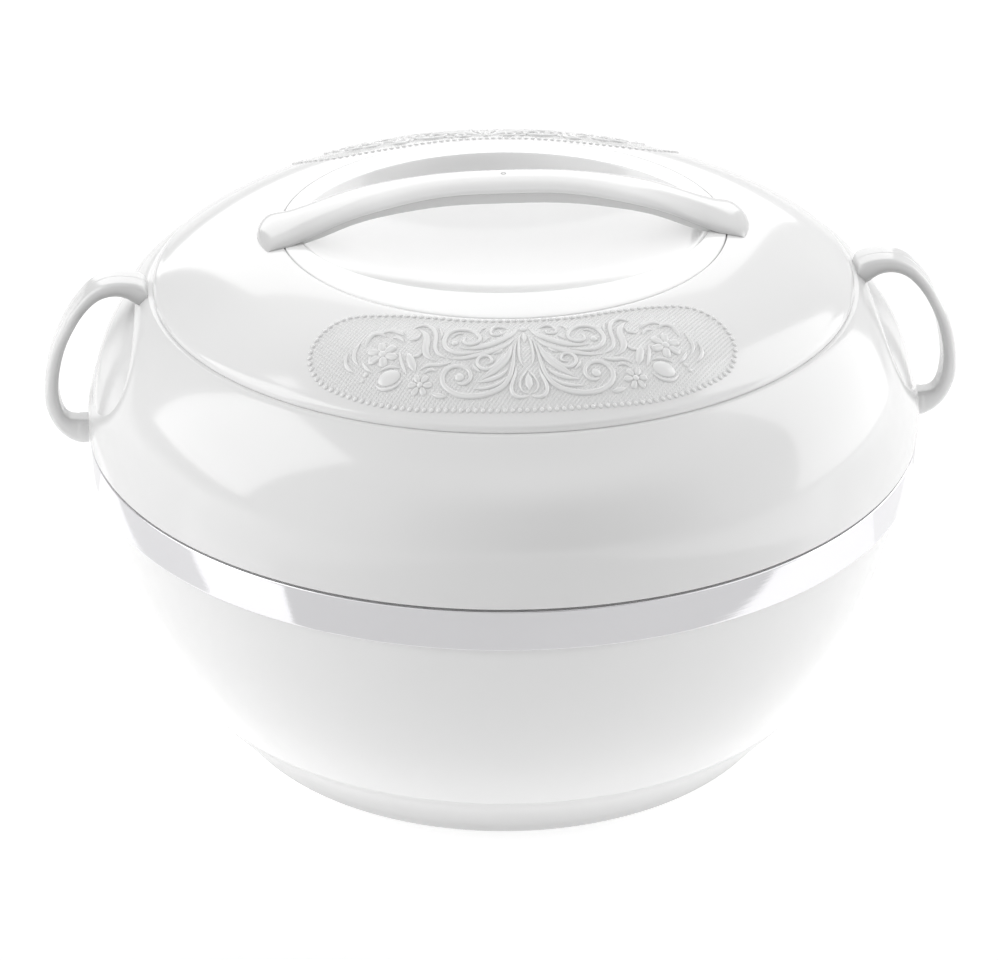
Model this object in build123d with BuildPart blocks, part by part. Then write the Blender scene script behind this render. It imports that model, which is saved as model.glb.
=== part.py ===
"""Insulated serving bowl with a lift-off lid.

A belly-shaped outer body in three white mouldings (base cover, lower shell and
upper shell) wears a bright metal band over the joint of its two shells. A drawn
steel food bowl hangs in the mouth of the body with foam behind it. Two strap
handles stand in line on the X axis, each in front of a shallow finger hollow.
The lid is a domed ring with a dished grip cup in its middle, an arched bar over
the cup, foam, a steel pan and a seal.

Frame: millimetres, +Z up, origin on the table under the middle of the bowl.
The handles and the grip bar lie along X and the front of the bowl faces -Y.
"""

import os

from build123d import *

# ------------------------------------------------------------------ dimensions
# outer body, radii and heights of the visible profile
R_BELLY = 168.5  # widest point of the upper shell
Z_BELLY = 150.0
R_LIP = 168.2  # lower edge of the upper shell
Z_LIP = 139.8
R_SEAT = 142.4  # outer edge of the ledge under the lid
Z_SEAT = 199.3
R_SHOULDER = 59.6  # radius of the shoulder arc in section
C_SHOULDER = R_BELLY - R_SHOULDER  # its centre radius, at Z_BELLY
WALL = 2.5  # moulded wall

R_LEDGE = 137.9  # inner edge of the ledge, where it steps down
Z_FLANGE = 196.4  # rest of the steel bowl's flange
R_FLANGE = 128.0  # inner edge of that rest

R_SKIRT = 163.4  # skirt of the upper shell, inside the lower shell
Z_SKIRT = 128.5

# lower shell and base cover
SHELL_OUT = [(133.9, 35.0), (143.5, 52.9), (151.6, 72.4), (158.8, 94.7), (164.3, 115.0), (166.1, 122.4)]
SHELL_IN = [(131.8, 36.3), (141.2, 54.0), (149.25, 73.3), (156.4, 95.4), (161.85, 115.6), (163.65, 122.9)]
R_LAND = 167.1  # top of the land that carries the band
Z_LAND = 139.0
R_FOOT = 96.5
FOOT_IN, FOOT_OUT = 87.4, 95.6  # groove for the foot ring
R_FILL = 8.2  # foam filling hole

# metal band
BAND_Z0, BAND_Z1 = 122.4, 139.2
BAND_T = 0.85

# steel bowl
R_MOUTH = 124.0
Z_BOWL = 27.0  # inside of its floor
BOWL_T = 0.8

# finger hollows: cylinders along Y that flatten the shoulder behind each handle
HOLLOW_X, HOLLOW_Z, HOLLOW_R = 239.9, 213.8, 94.3

# side handles
STRAP_W = 16.0  # at the top; the strap narrows towards its root
SCREW_Z = 142.0

# lid
R_RIM = 140.3
Z_RIM = 200.0
R_CUP = 89.1  # opening in the lid cover
Z_CUP = 222.55
COVER_T = 2.2
DOME_R, DOME_CR, DOME_CZ = 104.0, 77.2, 119.2  # dome arc in section: radius and centre
CUP_TOP_R = 751.0  # crown of the grip cup's rim
CUP_TOP_Z = 227.9
BOAT_Z, BOAT_RX, BOAT_RY = 205.0, 215.0, 200.0  # grip hollow: floor and its two radii
LENS_R, LENS_Y, LENS_Z, LENS_SLOPE = 88.9, 18.1, 228.0, 0.25  # its lens-shaped wall: two cones, radius and centre at a height
BAR_W = 35.0  # at the feet; the bar narrows to its middle
BAR_SCREW_X = 93.1


def arc_z(radius, cr, cz, r):
    """Height of a circular arc in section at radius r."""
    return cz + (radius**2 - (r - cr) ** 2) ** 0.5


# ------------------------------------------------------------- reference forms
# filled outer form of the upper shell, before the finger hollows
with BuildPart() as outer_form:
    with BuildSketch(Plane.YZ):
        with BuildLine():
            Line((0, Z_LIP), (R_LIP, Z_LIP))
            ThreePointArc((R_LIP, Z_LIP), (168.42, 144.9), (R_BELLY, Z_BELLY))
            RadiusArc((R_BELLY, Z_BELLY), (R_SEAT, Z_SEAT), -R_SHOULDER)
            Line((R_SEAT, Z_SEAT), (0, Z_SEAT))
            Line((0, Z_SEAT), (0, Z_LIP))
        make_face()
    revolve(axis=Axis.Z)

# the two hollows, and the same forms grown by a wall and by a foam gap
with BuildPart() as hollow_form:
    with Locations((HOLLOW_X, 0, HOLLOW_Z)):
        Cylinder(HOLLOW_R, 260, rotation=(90, 0, 0))
    with Locations((-HOLLOW_X, 0, HOLLOW_Z)):
        Cylinder(HOLLOW_R, 260, rotation=(90, 0, 180))
with BuildPart() as hollow_back:
    with Locations((HOLLOW_X, 0, HOLLOW_Z)):
        Cylinder(HOLLOW_R + WALL, 260, rotation=(90, 0, 0))
    with Locations((-HOLLOW_X, 0, HOLLOW_Z)):
        Cylinder(HOLLOW_R + WALL, 260, rotation=(90, 0, 180))
with BuildPart() as hollow_clear:
    with Locations((HOLLOW_X, 0, HOLLOW_Z)):
        Cylinder(HOLLOW_R + WALL + 0.6, 260, rotation=(90, 0, 0))
    with Locations((-HOLLOW_X, 0, HOLLOW_Z)):
        Cylinder(HOLLOW_R + WALL + 0.6, 260, rotation=(90, 0, 180))

# grip hollow of the lid: a lens in plan with steep walls and a boat-shaped floor;
# the floor's section is drawn above the turning axis, so that the seam is not in the lid
boat_axis = BOAT_Z + BOAT_RX


def boat_floor(grow):
    with BuildPart() as form:
        top = boat_axis + BOAT_RX + grow
        sag = BOAT_RY + grow - ((BOAT_RY + grow) ** 2 - 100**2) ** 0.5
        with BuildSketch(Plane.YZ):
            with BuildLine():
                ThreePointArc((-100, top - sag), (0, top), (100, top - sag))
                Polyline((100, top - sag), (100, boat_axis + 120), (-100, boat_axis + 120), (-100, top - sag))
            make_face()
        revolve(axis=Axis((0, 0, boat_axis), (0, 1, 0)))
    return form.part


def lens_wall(side, grow):
    wide = LENS_R + grow * (1 + LENS_SLOPE**2) ** 0.5
    with BuildPart() as form:
        with Locations((0, side * LENS_Y, LENS_Z - 10)):
            Cone(wide - 30 * LENS_SLOPE, wide + 10 * LENS_SLOPE, 40)
    return form.part


with BuildPart() as boat_form:
    add(boat_floor(0))
    add(lens_wall(1, 0), mode=Mode.INTERSECT)
    add(lens_wall(-1, 0), mode=Mode.INTERSECT)

# ------------------------------------------------------------------ outer body
# base cover: a shallow cone with a foot, a groove for the foot ring, a filling
# hole, and a lip that goes up inside the lower shell
with BuildPart() as base_cover:
    with BuildSketch(Plane.XZ):
        with BuildLine():
            Line((133.55, 34.75), (113.0, 9.4))
            ThreePointArc((113.0, 9.4), (104.9, 4.6), (R_FOOT, 1.0))
            Polyline(
                (R_FOOT, 1.0),
                (FOOT_OUT, 1.0),
                (FOOT_OUT, 2.6),
                (FOOT_IN, 2.6),
                (FOOT_IN, 1.0),
                (85.0, 1.0),
                (83.0, 4.0),
                (R_FILL, 4.0),
                (R_FILL, 6.5),
                (84.4, 6.5),
                (86.4, 5.0),
                (98.6, 5.0),
                (110.9, 11.2),
                (128.8, 36.6),
                (134.0, 45.2),
                (135.8, 44.3),
                (131.2, 36.4),
                (133.55, 34.75),
            )
        make_face()
    revolve(axis=Axis.Z)

with BuildPart() as foot_ring:
    with BuildSketch(Plane.XZ):
        with BuildLine():
            Polyline((FOOT_IN + 0.2, 2.5), (FOOT_IN + 0.2, 0.8), (FOOT_IN + 1.0, 0), (FOOT_OUT - 1.0, 0), (FOOT_OUT - 0.2, 0.8), (FOOT_OUT - 0.2, 2.5), close=True)
        make_face()
    revolve(axis=Axis.Z)

with BuildPart() as fill_plug:
    with BuildSketch(Plane.XZ):
        with BuildLine():
            Polyline((0, 2.4), (10.4, 2.4), (11.4, 3.0), (11.4, 3.9), (8.0, 3.9), (8.0, 7.2), (6.4, 7.2), (6.4, 4.6), (0, 4.6), close=True)
        make_face()
    revolve(axis=Axis.Z)

# lower shell: the curved bowl from the seam above the base to the band
with BuildPart() as lower_shell:
    with BuildSketch(Plane.XZ):
        with BuildLine():
            Spline(*SHELL_OUT, tangents=((0.55, 1), (0.075, 1)))
            Line(SHELL_OUT[-1], (R_LAND, Z_LAND))
            Line((R_LAND, Z_LAND), (R_SKIRT + 0.35, Z_LAND))
            Line((R_SKIRT + 0.35, Z_LAND), SHELL_IN[-1])
            Spline(*SHELL_IN[::-1], tangents=((-0.1, -1), (-0.55, -1)))
            Line(SHELL_IN[0], SHELL_OUT[0])
        make_face()
    revolve(axis=Axis.Z)

# bright band wrapped over the top of the lower shell
with BuildPart() as trim_band:
    with BuildSketch(Plane.XZ):
        with BuildLine():
            Polyline((166.2, BAND_Z0), (166.75, BAND_Z0), (167.1, BAND_Z0 + 0.4))
            ThreePointArc((167.1, BAND_Z0 + 0.4), (167.8, 131.0), (168.05, BAND_Z1 - 0.4))
            Polyline((168.05, BAND_Z1 - 0.4), (167.7, BAND_Z1), (167.2, BAND_Z1), (166.2, BAND_Z0))
        make_face()
    revolve(axis=Axis.Z)

# upper shell: shoulder ring with the lid's ledge, the rest for the steel bowl's
# flange, the two finger hollows and a skirt inside the lower shell
r_in = R_SHOULDER - WALL
r_under = C_SHOULDER + (r_in**2 - (Z_FLANGE - WALL - Z_BELLY) ** 2) ** 0.5
with BuildPart() as upper_shell:
    with BuildSketch(Plane.YZ):
        with BuildLine():
            ThreePointArc((R_LIP, Z_LIP), (168.42, 144.9), (R_BELLY, Z_BELLY))
            RadiusArc((R_BELLY, Z_BELLY), (R_SEAT, Z_SEAT), -R_SHOULDER)
            Polyline(
                (R_SEAT, Z_SEAT),
                (R_LEDGE, Z_SEAT),
                (R_LEDGE, Z_FLANGE),
                (R_FLANGE, Z_FLANGE),
                (R_FLANGE, Z_FLANGE - WALL),
                (r_under, Z_FLANGE - WALL),
            )
            RadiusArc((r_under, Z_FLANGE - WALL), (R_BELLY - WALL, Z_BELLY), r_in)
            Polyline(
                (R_BELLY - WALL, Z_BELLY),
                (165.9, 148.2),
                (161.2, 146.8),
                (161.2, Z_SKIRT),
                (R_SKIRT, Z_SKIRT),
                (R_SKIRT, Z_LIP),
                (R_LIP, Z_LIP),
            )
        make_face()
    revolve(axis=Axis.Z)
    add(hollow_form.part, mode=Mode.SUBTRACT)
    # wall behind each hollow
    backing = (hollow_back.part & outer_form.part) - hollow_form.part
    add(backing)
    # clearance holes for the handle screws
    with Locations((165, 0, SCREW_Z), (-165, 0, SCREW_Z)):
        Cylinder(1.4, 12, rotation=(0, 90, 0), mode=Mode.SUBTRACT)

# ------------------------------------------------------------- food bowl, foam
# drawn steel bowl with a flat flange
c_r, c_z, rb = 73.5, 67.0, 40.0
with BuildPart() as inner_bowl:
    with BuildSketch(Plane.XZ):
        with BuildLine():
            Line((137.2, 197.25), (127.5, 197.25))
            RadiusArc((127.5, 197.25), (R_MOUTH, 193.75), -3.5)
            Line((R_MOUTH, 193.75), (113.37, 63.74))
            ThreePointArc((113.37, 63.74), (c_r + rb * 0.6782, c_z - rb * 0.7349), (c_r, Z_BOWL))
            Line((c_r, Z_BOWL), (0, Z_BOWL))
            Line((0, Z_BOWL), (0, Z_BOWL - BOWL_T))
            Line((0, Z_BOWL - BOWL_T), (c_r, Z_BOWL - BOWL_T))
            ThreePointArc(
                (c_r, Z_BOWL - BOWL_T),
                (c_r + (rb + BOWL_T) * 0.6782, c_z - (rb + BOWL_T) * 0.7349),
                (114.17, 63.67),
            )
            Line((114.17, 63.67), (R_MOUTH + BOWL_T, 193.75))
            RadiusArc((R_MOUTH + BOWL_T, 193.75), (127.5, 197.25 - BOWL_T), 2.7)
            Line((127.5, 197.25 - BOWL_T), (137.2, 197.25 - BOWL_T))
            Line((137.2, 197.25 - BOWL_T), (137.2, 197.25))
        make_face()
    revolve(axis=Axis.Z)

# ring that clamps the flange in the mouth
with BuildPart() as mouth_ring:
    with BuildSketch(Plane.XZ):
        with BuildLine():
            Line((126.8, 197.35), (137.6, 197.35))
            Line((137.6, 197.35), (137.6, 199.1))
            Line((137.6, 199.1), (128.3, 199.1))
            ThreePointArc((128.3, 199.1), (127.2, 198.6), (126.8, 197.35))
        make_face()
    revolve(axis=Axis.Z)

with BuildPart() as body_foam:
    with BuildSketch(Plane.YZ):
        with BuildLine():
            rf = r_in - 0.6
            r_top = C_SHOULDER + (rf**2 - (193.2 - Z_BELLY) ** 2) ** 0.5
            Line((126.1, 193.2), (r_top, 193.2))
            RadiusArc((r_top, 193.2), (C_SHOULDER + rf, Z_BELLY), rf)
            Polyline((C_SHOULDER + rf, Z_BELLY), (165.3, 148.9), (160.6, 147.4), (160.6, 127.9), (163.0, 127.9), (163.0, 122.9))
            Spline((163.0, 122.9), (161.2, 115.6), (155.75, 95.4), (148.6, 73.3), (140.5, 54.3), (137.0, 47.4))
            Polyline(
                (137.0, 47.4),
                (133.4, 46.1),
                (128.1, 37.2),
                (110.3, 12.2),
                (98.0, 8.2),
                (0, 8.2),
                (0, 25.6),
                (c_r, 25.6),
            )
            ThreePointArc((c_r, 25.6), (c_r + 41.4 * 0.6782, c_z - 41.4 * 0.7349), (114.77, 63.6))
            Line((114.77, 63.6), (126.1, 193.2))
        make_face()
    revolve(axis=Axis.Z)
    add(hollow_clear.part, mode=Mode.SUBTRACT)
    # pockets for the handle screws
    with Locations((158.6, 0, SCREW_Z), (-158.6, 0, SCREW_Z)):
        Box(8, 9, 9, mode=Mode.SUBTRACT)

# ---------------------------------------------------------------- side handles
# strap that rises from the edge of the lid, bows outward and comes back to the
# belly just over the band, where it ends in a narrower, deeper root
outer_line = [
    (144.5, 203.6), (147.5, 204.7), (151.0, 205.2), (155.0, 205.3), (160.3, 204.1), (164.8, 201.6), (169.3, 197.1),
    (173.4, 191.7), (177.2, 184.9), (180.6, 177.8), (182.9, 170.5), (184.2, 163.5), (184.9, 157.0), (184.8, 151.0),
    (183.4, 145.6), (181.0, 140.6), (177.6, 136.8), (173.8, 134.4), (170.2, 133.7),
]
inner_line = [
    (169.5, 144.1), (174.5, 144.2), (177.3, 146.4), (178.9, 150.6), (179.5, 157.5), (178.9, 165.0), (176.4, 175.2),
    (172.3, 184.7), (167.7, 191.9), (162.6, 197.0), (158.0, 199.0), (154.4, 199.3), (150.8, 198.4),
]
half = STRAP_W / 2
with BuildPart() as side_handle_right:
    with BuildSketch(Plane.XZ):
        with BuildLine():
            Line((142.0, 196.0), (142.0, 200.4))
            Line((142.0, 200.4), outer_line[0])
            Spline(*outer_line, tangents=((1, 0.7), (-1, -0.08)))
            Polyline(outer_line[-1], (168.75, 134.2), (168.75, 140.2), (166.0, 140.2), (166.0, 144.1), inner_line[0])
            Spline(*inner_line, tangents=((1, 0), (-1, -0.5)))
            Polyline(inner_line[-1], (147.4, 195.4), (145.0, 193.0), (142.0, 196.0))
        make_face()
    extrude(amount=half, both=True)
    # front and rear sides draw in from the top to the root
    with BuildSketch(Plane.YZ.offset(130)):
        with BuildLine():
            Spline((half, 191.0), (7.4, 178.0), (6.4, 163.0), (5.3, 152.0), (4.6, 144.0), tangents=((0, -1), (0, -1)))
            Line((4.6, 144.0), (4.6, 130.0))
            Line((4.6, 130.0), (-4.6, 130.0))
            Line((-4.6, 130.0), (-4.6, 144.0))
            Spline((-4.6, 144.0), (-5.3, 152.0), (-6.4, 163.0), (-7.4, 178.0), (-half, 191.0), tangents=((0, 1), (0, 1)))
            Polyline((-half, 191.0), (-half, 210.0), (half, 210.0), (half, 191.0))
        make_face()
    extrude(amount=70, mode=Mode.INTERSECT)
    add(outer_form.part - hollow_form.part, mode=Mode.SUBTRACT)
    with Locations((169.6, 0, SCREW_Z)):
        Cylinder(1.25, 10, rotation=(0, 90, 0), mode=Mode.SUBTRACT)

with BuildPart() as side_handle_left:
    mirror(side_handle_right.part, about=Plane.YZ)

# one screw from inside the shell into the lower root of each handle
with BuildPart() as screw_form:
    with BuildSketch(Plane.XZ):
        with BuildLine():
            Polyline((0, 0), (1.6, 0), (2.3, 0.7), (2.3, 2.1), (1.2, 2.1), (1.2, 14.2), (0.5, 15.4), (0, 15.4), close=True)
        make_face()
    revolve(axis=Axis.Z)
with BuildPart() as handle_screws:
    for s in (1, -1):
        add(screw_form.part.moved(Location((s * 158.35, 0, SCREW_Z), (0, s * 90, 0))))

with BuildPart() as handle_washers:
    with Locations((160.815, 0, SCREW_Z), (-160.815, 0, SCREW_Z)):
        Cylinder(2.6, 0.65, rotation=(0, 90, 0))
    with Locations((160.815, 0, SCREW_Z), (-160.815, 0, SCREW_Z)):
        Cylinder(1.35, 3, rotation=(0, 90, 0), mode=Mode.SUBTRACT)

# ------------------------------------------------------------------------- lid
# outer cover: domed ring with a rounded rim and a collar round the grip cup
with BuildPart() as lid_cover:
    with BuildSketch(Plane.YZ):
        with BuildLine():
            rim_z = arc_z(DOME_R, DOME_CR, DOME_CZ, 137.0)
            cup_z = arc_z(DOME_R, DOME_CR, DOME_CZ, R_CUP)
            RadiusArc((R_CUP, cup_z), (137.0, rim_z), DOME_R)
            ThreePointArc((137.0, rim_z), (139.3, 202.7), (R_RIM, 200.7))
            Polyline((R_RIM, 200.7), (139.9, Z_RIM), (137.6, Z_RIM), (137.6, arc_z(DOME_R - COVER_T, DOME_CR, DOME_CZ, 137.6)))
            RadiusArc(
                (137.6, arc_z(DOME_R - COVER_T, DOME_CR, DOME_CZ, 137.6)),
                (90.5, arc_z(DOME_R - COVER_T, DOME_CR, DOME_CZ, 90.5)),
                -(DOME_R - COVER_T),
            )
            Polyline((90.5, arc_z(DOME_R - COVER_T, DOME_CR, DOME_CZ, 90.5)), (90.5, 214.5), (R_CUP, 214.5), (R_CUP, cup_z))
        make_face()
    revolve(axis=Axis.Z)
    with Locations((BAR_SCREW_X, 0, 220), (-BAR_SCREW_X, 0, 220)):
        Cylinder(1.6, 12, mode=Mode.SUBTRACT)

# grip cup: crowned disc with the hollow for the fingers
# its underside follows crown, floor and walls at the wall thickness


def cup_cavity(backed_by):
    with BuildPart() as form:
        with BuildSketch(Plane.YZ):
            with BuildLine():
                edge = CUP_TOP_Z - COVER_T - 86.7**2 / (2 * CUP_TOP_R)
                Polyline((0, 190), (86.7, 190), (86.7, edge))
                ThreePointArc((86.7, edge), (50, CUP_TOP_Z - COVER_T - 50**2 / (2 * CUP_TOP_R)), (0, CUP_TOP_Z - COVER_T))
                Line((0, CUP_TOP_Z - COVER_T), (0, 190))
            make_face()
        revolve(axis=Axis.Z)
        add(backed_by, mode=Mode.SUBTRACT)
    return form.part


with BuildPart() as lid_cup:
    with BuildSketch(Plane.YZ):
        with BuildLine():
            rc = R_CUP - 0.2
            edge_top = CUP_TOP_Z - rc**2 / (2 * CUP_TOP_R)
            Polyline((0, 195), (rc, 195), (rc, edge_top))
            ThreePointArc((rc, edge_top), (50, CUP_TOP_Z - 50**2 / (2 * CUP_TOP_R)), (0, CUP_TOP_Z))
            Line((0, CUP_TOP_Z), (0, 195))
        make_face()
    revolve(axis=Axis.Z)
    add(boat_form.part, mode=Mode.SUBTRACT)
    add(cup_cavity(boat_floor(COVER_T)), mode=Mode.SUBTRACT)
    add(cup_cavity(lens_wall(1, COVER_T)), mode=Mode.SUBTRACT)
    add(cup_cavity(lens_wall(-1, COVER_T)), mode=Mode.SUBTRACT)
    # skirt ends just under the collar of the cover
    with BuildSketch(Plane.XY.offset(190)):
        Circle(95)
        Circle(80, mode=Mode.SUBTRACT)
    extrude(amount=25, mode=Mode.SUBTRACT)

# filled form of the lid's outer surface, to seat the feet of the bar
with BuildPart() as dome_form:
    with BuildSketch(Plane.YZ):
        with BuildLine():
            Polyline((0, 190), (130, 190), (130, arc_z(DOME_R, DOME_CR, DOME_CZ, 130)))
            RadiusArc((130, arc_z(DOME_R, DOME_CR, DOME_CZ, 130)), (R_CUP, cup_z), -DOME_R)
            Polyline((R_CUP, cup_z), (0, cup_z), (0, 190))
        make_face()
    revolve(axis=Axis.Z)

# arched bar over the cup: narrow in the middle, flared to two broad feet
bar_top = [(0, 244.1), (25.0, 243.2), (45.5, 240.3), (59.4, 236.9), (69.3, 233.8), (79.3, 230.0), (88.0, 226.6), (93.5, 224.9)]
bar_under = [(0, 234.8), (25.0, 234.2), (40.0, 232.7), (53.5, 230.5), (61.4, 228.6), (69.3, 226.3), (76.0, 224.5), (80.5, 223.7)]
bar_side = [(0, 10.4), (25.0, 10.5), (45.0, 11.9), (59.0, 13.2), (69.0, 14.2), (79.0, 15.4), (88.0, 16.7), (94.3, BAR_W / 2)]
with BuildPart() as lid_bar:
    with BuildSketch(Plane.XZ):
        with BuildLine():
            Spline(*[(-x, z) for x, z in bar_top[:0:-1]], *bar_top)
            Polyline(bar_top[-1], (96.6, 223.5), (98.2, 221.6), (98.2, 219.0), (88.0, 219.0), (88.0, 223.7), bar_under[-1])
            Spline(*bar_under[::-1], *[(-x, z) for x, z in bar_under[1:]])
            Polyline((-80.5, 223.7), (-88.0, 223.7), (-88.0, 219.0), (-98.2, 219.0), (-98.2, 221.6), (-96.6, 223.5), (-93.5, 224.9))
        make_face()
    extrude(amount=BAR_W / 2 + 2, both=True)
    with BuildSketch(Plane.XY.offset(200)):
        with BuildLine():
            Spline(*[(-x, y) for x, y in bar_side[:0:-1]], *bar_side)
            ThreePointArc(bar_side[-1], (98.1, 0), (94.3, -BAR_W / 2))
            Spline(*[(x, -y) for x, y in bar_side[:0:-1]], *[(-x, -y) for x, y in bar_side])
            ThreePointArc((-94.3, -BAR_W / 2), (-98.1, 0), (-94.3, BAR_W / 2))
        make_face()
    extrude(amount=60, mode=Mode.INTERSECT)
    add(dome_form.part, mode=Mode.SUBTRACT)
    # the feet stand on the cover alone, clear of the cup's crown
    with BuildSketch(Plane.XY.offset(200)):
        Circle(R_CUP + 0.1)
    extrude(amount=23.5, mode=Mode.SUBTRACT)
    with Locations((BAR_SCREW_X, 0, 221.6), (-BAR_SCREW_X, 0, 221.6)):
        Cylinder(1.45, 5.4, mode=Mode.SUBTRACT)

with BuildPart() as lid_bar_screws:
    for s in (1, -1):
        with BuildSketch(Plane((s * BAR_SCREW_X, 0, 0), x_dir=(1, 0, 0), z_dir=(0, -1, 0))):
            with BuildLine():
                Polyline((0, 217.1), (2.3, 217.1), (2.3, 218.3), (1.4, 219.2), (1.4, 223.3), (0.6, 224.1), (0, 224.1), close=True)
            make_face()
        revolve(axis=Axis((s * BAR_SCREW_X, 0, 0), (0, 0, 1)))

# ring under the rim: carries the seal and the steel pan
with BuildPart() as lid_base_ring:
    with BuildSketch(Plane.XZ):
        with BuildLine():
            Polyline(
                (119.6, 201.6),
                (119.6, 190.2),
                (121.6, 190.2),
                (121.6, 193.0),
                (120.6, 193.0),
                (120.6, 196.4),
                (121.6, 196.4),
                (121.6, 199.7),
                (137.3, 199.7),
                (137.3, 200.9),
                (134.5, 201.6),
                close=True,
            )
        make_face()
    revolve(axis=Axis.Z)

with BuildPart() as lid_seal:
    with BuildSketch(Plane.XZ):
        with BuildLine():
            Polyline((120.7, 193.1), (121.7, 193.1), (123.55, 194.0), (123.55, 195.0), (121.7, 196.3), (120.7, 196.3), close=True)
        make_face()
    revolve(axis=Axis.Z)

with BuildPart() as lid_liner:
    with BuildSketch(Plane.XZ):
        with BuildLine():
            Polyline((0, 187.0), (115.3, 187.0))
            RadiusArc((115.3, 187.0), (119.3, 191.0), -4.0)
            Polyline((119.3, 191.0), (119.3, 200.6), (118.6, 200.6), (118.6, 191.0))
            RadiusArc((118.6, 191.0), (115.3, 187.7), 3.3)
            Polyline((115.3, 187.7), (0, 187.7), (0, 187.0))
        make_face()
    revolve(axis=Axis.Z)

with BuildPart() as lid_foam:
    with BuildSketch(Plane.XZ):
        with BuildLine():
            rl = DOME_R - COVER_T - 0.5
            Polyline((0, 188.3), (114.6, 188.3), (117.9, 191.6), (117.9, 202.2), (133.0, 202.2), (133.0, arc_z(rl, DOME_CR, DOME_CZ, 133.0)))
            RadiusArc((133.0, arc_z(rl, DOME_CR, DOME_CZ, 133.0)), (97.0, arc_z(rl, DOME_CR, DOME_CZ, 97.0)), -rl)
            Polyline((97.0, arc_z(rl, DOME_CR, DOME_CZ, 97.0)), (97.0, 214.0), (92.0, 213.0), (92.0, 202.0), (0, 202.0), (0, 188.3))
        make_face()
    revolve(axis=Axis.Z)

# ---------------------------------------------------------------------- export
os.makedirs("parts", exist_ok=True)

base_cover.part.label = "base_cover"
export_step(base_cover.part, "parts/base_cover.step")
foot_ring.part.label = "foot_ring"
export_step(foot_ring.part, "parts/foot_ring.step")
fill_plug.part.label = "fill_plug"
export_step(fill_plug.part, "parts/fill_plug.step")
lower_shell.part.label = "lower_shell"
export_step(lower_shell.part, "parts/lower_shell.step")
trim_band.part.label = "trim_band"
export_step(trim_band.part, "parts/trim_band.step")
upper_shell.part.label = "upper_shell"
export_step(upper_shell.part, "parts/upper_shell.step")
inner_bowl.part.label = "inner_bowl"
export_step(inner_bowl.part, "parts/inner_bowl.step")
mouth_ring.part.label = "mouth_ring"
export_step(mouth_ring.part, "parts/mouth_ring.step")
body_foam.part.label = "body_foam"
export_step(body_foam.part, "parts/body_foam.step")
side_handle_right.part.label = "side_handle_right"
export_step(side_handle_right.part, "parts/side_handle_right.step")
side_handle_left.part.label = "side_handle_left"
export_step(side_handle_left.part, "parts/side_handle_left.step")
handle_screws.part.label = "handle_screws"
export_step(handle_screws.part, "parts/handle_screws.step")
handle_washers.part.label = "handle_washers"
export_step(handle_washers.part, "parts/handle_washers.step")
lid_cover.part.label = "lid_cover"
export_step(lid_cover.part, "parts/lid_cover.step")
lid_cup.part.label = "lid_cup"
export_step(lid_cup.part, "parts/lid_cup.step")
lid_bar.part.label = "lid_bar"
export_step(lid_bar.part, "parts/lid_bar.step")
lid_bar_screws.part.label = "lid_bar_screws"
export_step(lid_bar_screws.part, "parts/lid_bar_screws.step")
lid_base_ring.part.label = "lid_base_ring"
export_step(lid_base_ring.part, "parts/lid_base_ring.step")
lid_seal.part.label = "lid_seal"
export_step(lid_seal.part, "parts/lid_seal.step")
lid_liner.part.label = "lid_liner"
export_step(lid_liner.part, "parts/lid_liner.step")
lid_foam.part.label = "lid_foam"
export_step(lid_foam.part, "parts/lid_foam.step")
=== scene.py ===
"""Looks of the insulated serving bowl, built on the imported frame."""

import math

import bmesh
import bpy
import numpy as np
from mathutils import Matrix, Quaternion, Vector


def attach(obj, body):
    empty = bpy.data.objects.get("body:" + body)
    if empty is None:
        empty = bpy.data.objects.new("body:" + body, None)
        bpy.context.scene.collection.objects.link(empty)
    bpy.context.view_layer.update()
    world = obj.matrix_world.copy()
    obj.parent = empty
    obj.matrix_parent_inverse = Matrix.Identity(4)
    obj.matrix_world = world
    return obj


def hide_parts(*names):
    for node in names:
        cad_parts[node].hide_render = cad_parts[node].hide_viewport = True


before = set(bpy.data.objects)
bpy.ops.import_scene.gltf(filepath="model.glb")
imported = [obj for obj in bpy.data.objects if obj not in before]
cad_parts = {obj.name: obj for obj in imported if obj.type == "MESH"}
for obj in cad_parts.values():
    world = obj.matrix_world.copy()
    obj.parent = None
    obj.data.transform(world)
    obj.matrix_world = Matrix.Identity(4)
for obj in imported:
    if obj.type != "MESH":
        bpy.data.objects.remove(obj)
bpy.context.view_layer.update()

MM = 0.001
BODY, LID = "bowl_body", "lid"


# ------------------------------------------------------------------ mesh tools
def make_object(name, verts, faces, sharp=38.0, painted_shade=None):
    """Mesh object from millimetre vertices, with outward normals and smooth shading split at sharp edges.
    painted_shade: painted shade per point, kept as the 'shade' attribute for white_plastic."""
    me = bpy.data.meshes.new(name)
    me.from_pydata([tuple(float(c) * MM for c in v) for v in verts], [], faces)
    if painted_shade is not None:
        att = me.attributes.new("shade", "FLOAT", "POINT")
        att.data.foreach_set("value", np.asarray(painted_shade, np.float32))
    bm = bmesh.new()
    bm.from_mesh(me)
    bmesh.ops.remove_doubles(bm, verts=bm.verts, dist=1e-7)
    bmesh.ops.recalc_face_normals(bm, faces=bm.faces)
    bm.to_mesh(me)
    bm.free()
    me.shade_smooth()
    me.set_sharp_from_angle(angle=math.radians(sharp))
    ob = bpy.data.objects.new(name, me)
    bpy.context.scene.collection.objects.link(ob)
    return ob


def arc(cx, cy, rad, a0, a1, n):
    """Points of a circular arc, angles in degrees."""
    return [(cx + rad * math.cos(math.radians(a)), cy + rad * math.sin(math.radians(a))) for a in np.linspace(a0, a1, n)]


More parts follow.
